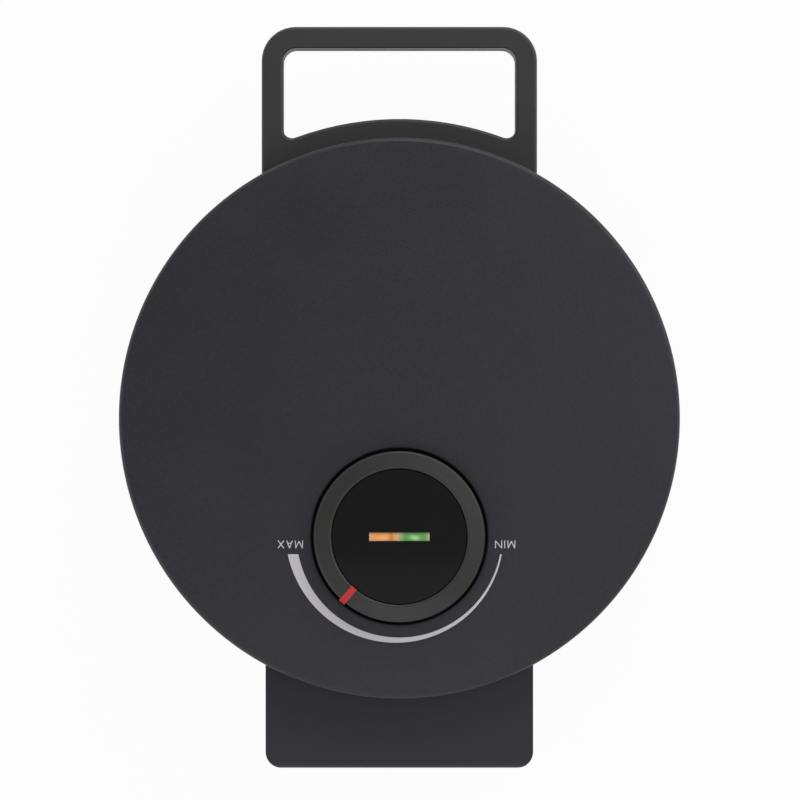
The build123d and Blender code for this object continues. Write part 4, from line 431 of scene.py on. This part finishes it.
class WAFFLE_OT_lid_cover(bpy.types.Operator):
    """Build the domed lid cover with the knob's well"""

    bl_idname = "waffle.lid_cover"
    bl_label = "Lid cover"

    def execute(self, context):
        """Rays from the knob's axis cross the dome to a circle about the body's axis.

        Along a ray the outline runs up the well's wall, over its lip, out over the dome,
        round the shoulder, down the skirt, and back inside at the wall's thickness. The
        shoulder's arc starts where it touches the dome's sphere.
        """
        sizes = context.scene.waffle_sizes
        wall, well = sizes.wall / MM, sizes.well_radius / MM
        floor, seam = sizes.well_floor / MM, sizes.seam_height / MM
        bend, body = sizes.shoulder_radius / MM, sizes.body_radius / MM
        ball, rim = dome_ball(sizes), body - bend
        edge = ball * rim / (ball - bend)
        level = sizes.crown_height / MM - ball + math.sqrt((ball - bend) ** 2 - rim**2)
        offset = KNOB_Y_MM - BODY_Y_MM
        turn = np.linspace(0, 2 * np.pi, COVER_ROUND, endpoint=False)[:, None]
        ray_x, ray_y = np.cos(turn), np.sin(turn)

        def reach(radius):
            """Length of each ray from the knob's axis to a circle about the body's axis."""
            return -offset * ray_y + np.sqrt(radius**2 - (offset * ray_x) ** 2)

        def from_knob(radii, heights):
            """Rings about the knob's axis; a height may change round the ring."""
            radii, heights = np.broadcast_arrays(radii, heights)
            x, y = radii * ray_x, KNOB_Y_MM + radii * ray_y
            return np.stack((x, y, heights + 0 * x), -1)

        def from_body(radii, heights):
            """Rings about the body's axis, at the bearings where the rays meet the edge."""
            hit = reach(edge)
            bearing = np.arctan2(offset + hit * ray_y, hit * ray_x)
            radii, heights = np.broadcast_arrays(radii, heights)
            x, y = radii * np.cos(bearing), BODY_Y_MM + radii * np.sin(bearing)
            return np.stack((x, y, heights + 0 * x), -1)

        def across(inner, outer, steps, drop):
            """Rows over the dome from a ring about the knob to a ring about the body."""
            radii = inner + np.linspace(0, 1, steps) * (reach(outer) - inner)
            x, y = radii * ray_x, KNOB_Y_MM + radii * ray_y
            return np.stack((x, y, dome_height(x, y, sizes) - drop), -1)

        ring = well + LIP_R
        brim = dome_height(ring * ray_x, KNOB_Y_MM + ring * ray_y, sizes) - LIP_R
        lip = np.radians(np.linspace(180, 90, 6))
        cove = np.radians(np.linspace(0, 90, 5))
        top = np.linspace(math.acos(rim / (ball - bend)), 0, 12)[1:]
        low = np.radians(np.linspace(0, -90, 5))
        outline = (
            from_knob(SPINDLE_HOLE_R, np.array([[floor - wall, floor]])),
            from_knob(
                well - WELL_ROUND + WELL_ROUND * np.sin(cove)[None],
                floor + WELL_ROUND - WELL_ROUND * np.cos(cove)[None],
            ),
            from_knob(ring + LIP_R * np.cos(lip), brim + LIP_R * np.sin(lip)),
            across(ring, edge, COVER_OUT_ROWS, 0.0)[:, 1:],
            from_body(rim + bend * np.cos(top), level + bend * np.sin(top)),
            from_body(
                body - SKIRT_ROUND + SKIRT_ROUND * np.cos(low),
                seam + SKIRT_ROUND + SKIRT_ROUND * np.sin(low),
            ),
            from_body(body - wall, np.linspace(seam, level, 4)),
            across(well + wall, rim, COVER_IN_ROWS, wall)[:, ::-1],
            from_knob(well + wall, np.array([[floor - wall]])),
        )
        cover = skin("lid_cover_shell", np.concatenate(outline, 1))
        dress(cover, "lid", "lid_plastic", ("lid_cover",))
        return {"FINISHED"}


# Height of the ink over the lid, and its depth under the dome
FILM, SINK = 0.03, 0.1
# Start circle's place from the knob's axis, level of the cut ends and power of the growth
SCALE_SHIFT, SCALE_END_RISE, SCALE_GROWTH = np.array((0.04, -0.49)), 6.7, 1.35
SCALE_STEPS = 160
# Piece, letters and middle x of each word, and how far behind the knob's axis both lie
WORDS = (("scale_word_max", "MAX", 40.7), ("scale_word_min", "MIN", -39.55))
WORD_REAR = 3.0
# Width of a stroke, and the gap between letters as a share of their height
WORD_STROKE, LETTER_GAP = 0.36, 0.42


class WAFFLE_OT_printed_scale(bpy.types.Operator):
    """Print the growing heat scale and its two words on the lid"""

    bl_idname = "waffle.printed_scale"
    bl_label = "Printed scale"

    def execute(self, context):
        """The scale starts at a circle near the knob's axis and widens by a power law.

        Both of its ends are cut level, SCALE_END_RISE behind the knob's axis. The film
        is a loop of four points across, two above the dome and two below it.
        """
        sizes = context.scene.waffle_sizes
        inner, first, last = (
            size / MM for size in (sizes.scale_radius, sizes.scale_start, sizes.scale_end)
        )
        share = np.linspace(0, 1, SCALE_STEPS)
        width = first + (last - first) * share**SCALE_GROWTH

        def edge(out):
            """Points round the knob at the inner circle plus out, between the level ends."""
            start, end = np.arcsin(SCALE_END_RISE / (inner + out[[0, -1]]))
            turn = (np.pi - start) * (1 - share) + end * share
            way = np.column_stack((np.cos(turn), np.sin(turn)))
            along = way @ SCALE_SHIFT
            reach = along + np.sqrt(along**2 + inner**2 - SCALE_SHIFT @ SCALE_SHIFT) + out
            return way * reach[:, None] + (0, KNOB_Y_MM)

        near, far = edge(0 * width), edge(width)
        flat = np.stack((near, far, far, near))
        lift = np.array((FILM, FILM, -SINK, -SINK))[:, None]
        height = dome_height(flat[..., 0], flat[..., 1], sizes) + lift
        grid = np.concatenate((flat, height[..., None]), -1)
        dress(skin("heat_scale_print", grid, (True, False), (True, True)), "lid", "scale_ink")
        for name, word, middle in WORDS:
            dress(printed_word(name, word, middle, sizes), "lid", "scale_ink")
        return {"FINISHED"}


# Width and strokes of each letter in a box one unit high
LETTERS = {
    "M": (1.01, (((0, 0), (0.06, 1), (0.505, 0.08), (0.95, 1), (1.01, 0)),)),
    "A": (0.77, (((0, 0), (0.385, 1), (0.77, 0)), ((0.14, 0.34), (0.63, 0.34)))),
    "X": (0.77, (((0, 0), (0.77, 1)), ((0, 1), (0.77, 0)))),
    "I": (0.0, (((0, 0), (0, 1)),)),
    "N": (0.86, (((0, 0), (0, 1), (0.86, 0), (0.86, 1)),)),
}
# Corners of a box's six faces: four below, then the same four above
BLOCK = np.array(
    ((0, 3, 2, 1), (4, 5, 6, 7), (0, 1, 5, 4), (1, 2, 6, 5), (2, 3, 7, 6), (3, 0, 4, 7))
)


def printed_word(name, word, middle_x, sizes):
    """Thin straight strokes for each letter, laid on the dome and a hair thick.

    Every stroke is a box: its centre line moved sideways by half the stroke's width.
    Neighbours differ a hair in height, so that crossings don't flicker.
    """
    height = sizes.letter_height / MM
    lines, pen = [], 0.0
    for letter in word:
        width, runs = LETTERS[letter]
        for run in runs:
            lines += [((pen + a[0], a[1]), (pen + b[0], b[1])) for a, b in zip(run, run[1:])]
        pen += width + LETTER_GAP
    middle = (pen - LETTER_GAP) * height / 2
    ends = np.array(lines) * height
    ends = ends + (middle_x - middle, KNOB_Y_MM + WORD_REAR - height / 2)
    way = ends[:, 1] - ends[:, 0]
    way = way / np.linalg.norm(way, axis=1, keepdims=True) * WORD_STROKE / 2
    side = np.column_stack((-way[:, 1], way[:, 0]))
    a, b = ends[:, 0] - way / 2, ends[:, 1] + way / 2
    flat = np.stack((a - side, a + side, b + side, b - side), 1)
    flat = np.concatenate((flat, flat), 1)
    step = FILM / 6 * (np.arange(len(lines))[:, None] % 2)
    lift = np.repeat((-SINK, FILM), 4) + step
    corner = np.dstack((flat, dome_height(flat[..., 0], flat[..., 1], sizes) + lift))
    faces = (np.arange(len(lines))[:, None, None] * 8 + BLOCK).reshape(-1, 4)
    return solid(name, corner.reshape(-1, 3) * MM, faces.tolist())


RIB_PITCH, RIB_DEPTH, LENS_CROWN = 0.8, 0.05, 0.1
LENS_STEPS, LENS_ROWS = 121, 17
# Node, slot and the u of the deepest colour and of the painted highlight of each lens
LENSES = (
    ("orange_lens", "orange_window", 0.72, 0.47),
    ("green_lens", "green_window", 0.84, 0.5),
)
# Weight and half width of the deep band
DEEP_WEIGHT, DEEP_SPREAD = 0.9, 0.09
# Half width and half depth of the painted highlight, its lean along v and its place across
HIGHLIGHT_SPREAD, HIGHLIGHT_SPREAD_V, HIGHLIGHT_LEAN, HIGHLIGHT_V = 0.17, 0.6, 0.06, 0.25
# Pale ends: how far in the outer one reaches, where the inner one starts, and the share of
# painted light and shade that stripes them along the ribs
PALE_OUTER, PALE_FULL, PALE_INNER, PALE_RIB_SHADE = 0.16, 1.1, 0.78, 0.2
# Painted shade along the lens's edges: its weight, its middle across (rear of centre, so
# the front edge is darkest), the width that stays clear and the fade to it
EDGE_SHADE_WEIGHT, EDGE_SHADE_V, EDGE_SHADE_CLEAR, EDGE_SHADE_FADE = 0.75, 0.15, 0.3, 0.85


class WAFFLE_OT_lenses(bpy.types.Operator):
    """Build the ribbed orange and green halves of the lamp window"""

    bl_idname = "waffle.lenses"
    bl_label = "Lamp lenses"

    def execute(self, context):
        """A lens is a tray whose top arches across and ripples along like the real ribs.

        The attributes are the weights of its colours, from u along the lens (0 at its
        outer end, 1 at the window's middle) and v across it (-1 to 1, 1 to the rear). The
        third weight places a painted highlight and the fourth painted shade along the edges;
        the pale ends carry painted light and shade in stripes along the ribs.
        """
        for name, slot, deep_at, highlight_at in LENSES:
            low, high = (np.array(corner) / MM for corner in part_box(name))
            x = np.linspace(low[0], high[0], LENS_STEPS)
            v = np.linspace(-1, 1, LENS_ROWS)[:, None]
            y = (low[1] + high[1]) / 2 + v * (high[1] - low[1]) / 2
            ripple = RIB_DEPTH * (np.abs(np.sin(np.pi * (x - low[0]) / RIB_PITCH)) - 1)
            top = high[2] + ripple - LENS_CROWN * v**2
            rings = np.stack(np.broadcast_arrays(x, y, top), -1)
            foot = rings[[-1, 0]].copy()
            foot[..., 2] = low[2]
            grid = np.concatenate((rings, foot))
            piece = skin(name + "_ribbed", grid, (True, False), (True, True))
            dress(piece, "lid", slot, (name,))
            place = np.zeros(len(piece.data.vertices) * 3)
            piece.data.vertices.foreach_get("co", place)
            place = place.reshape(-1, 3) / MM
            outer = max(abs(low[0]), abs(high[0]))
            u = (outer - np.abs(place[:, 0])) / (high[0] - low[0])
            v = (2 * place[:, 1] - low[1] - high[1]) / (high[1] - low[1])
            # Painted light and shade in stripes that follow the ribs
            rib_light_and_shade = 1 - PALE_RIB_SHADE + PALE_RIB_SHADE * np.sin(2 * np.pi * place[:, 0] / RIB_PITCH)
            outer_end = np.clip(PALE_FULL - u / PALE_OUTER, 0, 1)
            inner_end = np.clip((u - PALE_INNER) / (1 - PALE_INNER), 0, 1)
            # Painted highlight: a bright spot where a lamp's reflection would fall
            along = (u - highlight_at + HIGHLIGHT_LEAN * v) / HIGHLIGHT_SPREAD
            across = (v - HIGHLIGHT_V) / HIGHLIGHT_SPREAD_V
            # Painted shade along the lens's edges, darker at the front
            shaded = np.clip((np.abs(v - EDGE_SHADE_V) - EDGE_SHADE_CLEAR) / EDGE_SHADE_FADE, 0, 1)
            weights = {
                "deep": DEEP_WEIGHT * np.exp(-(((u - deep_at) / DEEP_SPREAD) ** 2)),
                "pale": (outer_end + inner_end) * rib_light_and_shade,
                "painted_highlight": np.exp(-(along**2) - across**2),
                # Painted shade along the edges
                "rim": EDGE_SHADE_WEIGHT * shaded**2,
            }
            for label, value in weights.items():
                attribute = piece.data.attributes.new(label, "FLOAT", "POINT")
                attribute.data.foreach_set("value", value.astype(np.float32))
        return {"FINISHED"}


PAPER_HALF, PAPER_THICK = 9000.0, 20.0
# How white the paper is when seen
PAPER_GLOW = 0.95
# Camera's place in metres, and its lens and film width in millimetres
CAMERA_PLACE = (-0.24 * MM, 1.17 * MM, 3.072)
CAMERA_LENS, CAMERA_FILM = 360.0, 36.0
# Name, place, side and power of each square softbox
SOFTBOXES = (
    ("softbox_right_of_camera", (-0.72, 0.0, 2.08), 0.8, 2.1),
    ("softbox_hinge_side", (0.0, 1.1, 1.9), 1.0, 4.9),
    ("softbox_handle_side", (-0.4, -1.69, 1.35), 1.0, 10.0),
    ("softbox_right_flank", (-1.5, -0.87, 1.35), 1.0, 8.0),
    ("softbox_left_flank", (1.5, 0.87, 1.35), 1.0, 4.0),
    ("softbox_rear_patch", (0.0, 0.64, 2.1), 1.0, 0.4),
)


class WAFFLE_OT_stage(bpy.types.Operator):
    """Set the white floor, the soft lights and the camera above"""

    bl_idname = "waffle.stage"
    bl_label = "Stage"

    def execute(self, context):
        """Softboxes stand round the camera and at the flanks; straight above stays dim."""
        scene = context.scene
        corners = PAPER_HALF * np.array(((-1, -1), (1, -1), (1, 1), (-1, 1)))[:, :, None]
        x, y, z = np.broadcast_arrays(*corners.transpose(1, 0, 2), np.array((-PAPER_THICK, 0)))
        grid = np.stack((x, y, z), -1)
        floor = skin("floor", grid, (True, False), (True, True))
        floor.data.materials.append(floor_paper())
        scene.world = studio_room()
        for name, place, size, power in SOFTBOXES:
            lamp = bpy.data.lights.new(name, "AREA")
            lamp.shape, lamp.size, lamp.energy = "SQUARE", size, power
            holder = bpy.data.objects.new(name, lamp)
            holder.location = place
            holder.rotation_euler = (-holder.location).to_track_quat("-Z", "Y").to_euler()
            scene.collection.objects.link(holder)
        optics = bpy.data.cameras.new("overhead_camera")
        optics.lens, optics.sensor_width = CAMERA_LENS, CAMERA_FILM
        optics.clip_start, optics.clip_end = 0.1, 60
        camera = bpy.data.objects.new("overhead_camera", optics)
        camera.location = CAMERA_PLACE
        camera.rotation_euler = (0, 0, math.pi)
        scene.collection.objects.link(camera)
        scene.camera = camera
        scene.view_settings.view_transform = "Standard"
        return {"FINISHED"}


def seen_rays(tree):
    """1 for a camera, glossy or transmission ray, and 0 for a ray of plain light."""
    path = node(tree, "LightPath").outputs
    seen = path["Is Camera Ray"]
    for other in ("Is Glossy Ray", "Is Transmission Ray"):
        seen = node(tree, "Math", {0: seen, 1: path[other]}, operation="MAXIMUM").outputs[0]
    return seen


def floor_paper():
    """White paper sweep: nearly white when seen, and it keeps a soft shadow."""
    white = linear("e4e4e4"), linear("eaeaea")
    material = finish("paper_sweep_matt", white, (0.85, 0.95), EVEN, 0.01)
    tree = material.node_tree
    share = {0: seen_rays(tree), 1: PAPER_GLOW}
    weight = node(tree, "Math", share, operation="MULTIPLY").outputs[0]
    glow = node(tree, "Emission", {"Color": (1, 1, 1, 1), "Strength": 1.0}).outputs[0]
    matt = part_of(material, "BSDF_PRINCIPLED").outputs["BSDF"]
    mixed = node(tree, "MixShader", {0: weight, 1: matt, 2: glow}).outputs["Shader"]
    tree.links.new(mixed, part_of(material, "OUTPUT_MATERIAL").inputs["Surface"])
    return material


WALL_LIGHT, CEILING_LIGHT = 1.2, 0.2
# Heights of a view's direction, from 0 level to 1 straight up, between wall and ceiling
WALL_TOP, CEILING_START = 0.45, 0.7


def studio_room():
    """World with walls that look white and a dimmer ceiling.

    The strength falls smoothly from the walls' to the ceiling's over the heights where
    a wall meets the ceiling. The walls light the object a little more than they are seen.
    """
    world = bpy.data.worlds.new("studio_room")
    world.use_nodes = True
    tree = world.node_tree
    tree.nodes.clear()
    way = node(tree, "TexCoord").outputs["Generated"]
    height = node(tree, "SeparateXYZ", {"Vector": way}).outputs["Z"]
    seen = {"Value": seen_rays(tree), "To Min": WALL_LIGHT, "To Max": 1.0}
    walls = node(tree, "MapRange", seen).outputs["Result"]
    rise = {
        "Value": height,
        "From Min": WALL_TOP,
        "From Max": CEILING_START,
        "To Min": walls,
        "To Max": CEILING_LIGHT,
    }
    strength = node(tree, "MapRange", rise, interpolation_type="SMOOTHSTEP").outputs["Result"]
    back = node(tree, "Background", {"Color": (1, 1, 1, 1), "Strength": strength})
    node(tree, "OutputWorld", {"Surface": back.outputs["Background"]})
    return world


class WAFFLE_PT_panel(bpy.types.Panel):
    """Lists the sizes, the colours and the operators"""

    bl_idname = "WAFFLE_PT_panel"
    bl_label = "Heart waffle maker"
    bl_space_type = "VIEW_3D"
    bl_region_type = "UI"
    bl_category = "Waffle Maker"

    def draw(self, context):
        """Show each size and colour, then one button for each operator."""
        scene = context.scene
        for group in (scene.waffle_sizes, scene.waffle_colours):
            for name in type(group).__annotations__:
                self.layout.prop(group, name)
        for operator in OPERATORS:
            self.layout.operator(operator.bl_idname)


OPERATORS = (
    WAFFLE_OT_stage,
    WAFFLE_OT_finishes,
    WAFFLE_OT_lid_cover,
    WAFFLE_OT_printed_scale,
    WAFFLE_OT_lenses,
)
CLASSES = (WaffleSizes, WaffleColours, *OPERATORS, WAFFLE_PT_panel)
MATERIALS = {}


def register():
    """Register the classes and hang the sizes and colours on the scene."""
    for made in CLASSES:
        bpy.utils.register_class(made)
    bpy.types.Scene.waffle_sizes = bpy.props.PointerProperty(type=WaffleSizes)
    bpy.types.Scene.waffle_colours = bpy.props.PointerProperty(type=WaffleColours)


def unregister():
    """Take the classes, the sizes and the colours away again."""
    del bpy.types.Scene.waffle_colours
    del bpy.types.Scene.waffle_sizes
    for made in reversed(CLASSES):
        bpy.utils.unregister_class(made)


def main():
    register()
    for operator in OPERATORS:
        group, name = operator.bl_idname.split(".")
        getattr(getattr(bpy.ops, group), name)()


if __name__ == "__main__":
    main()
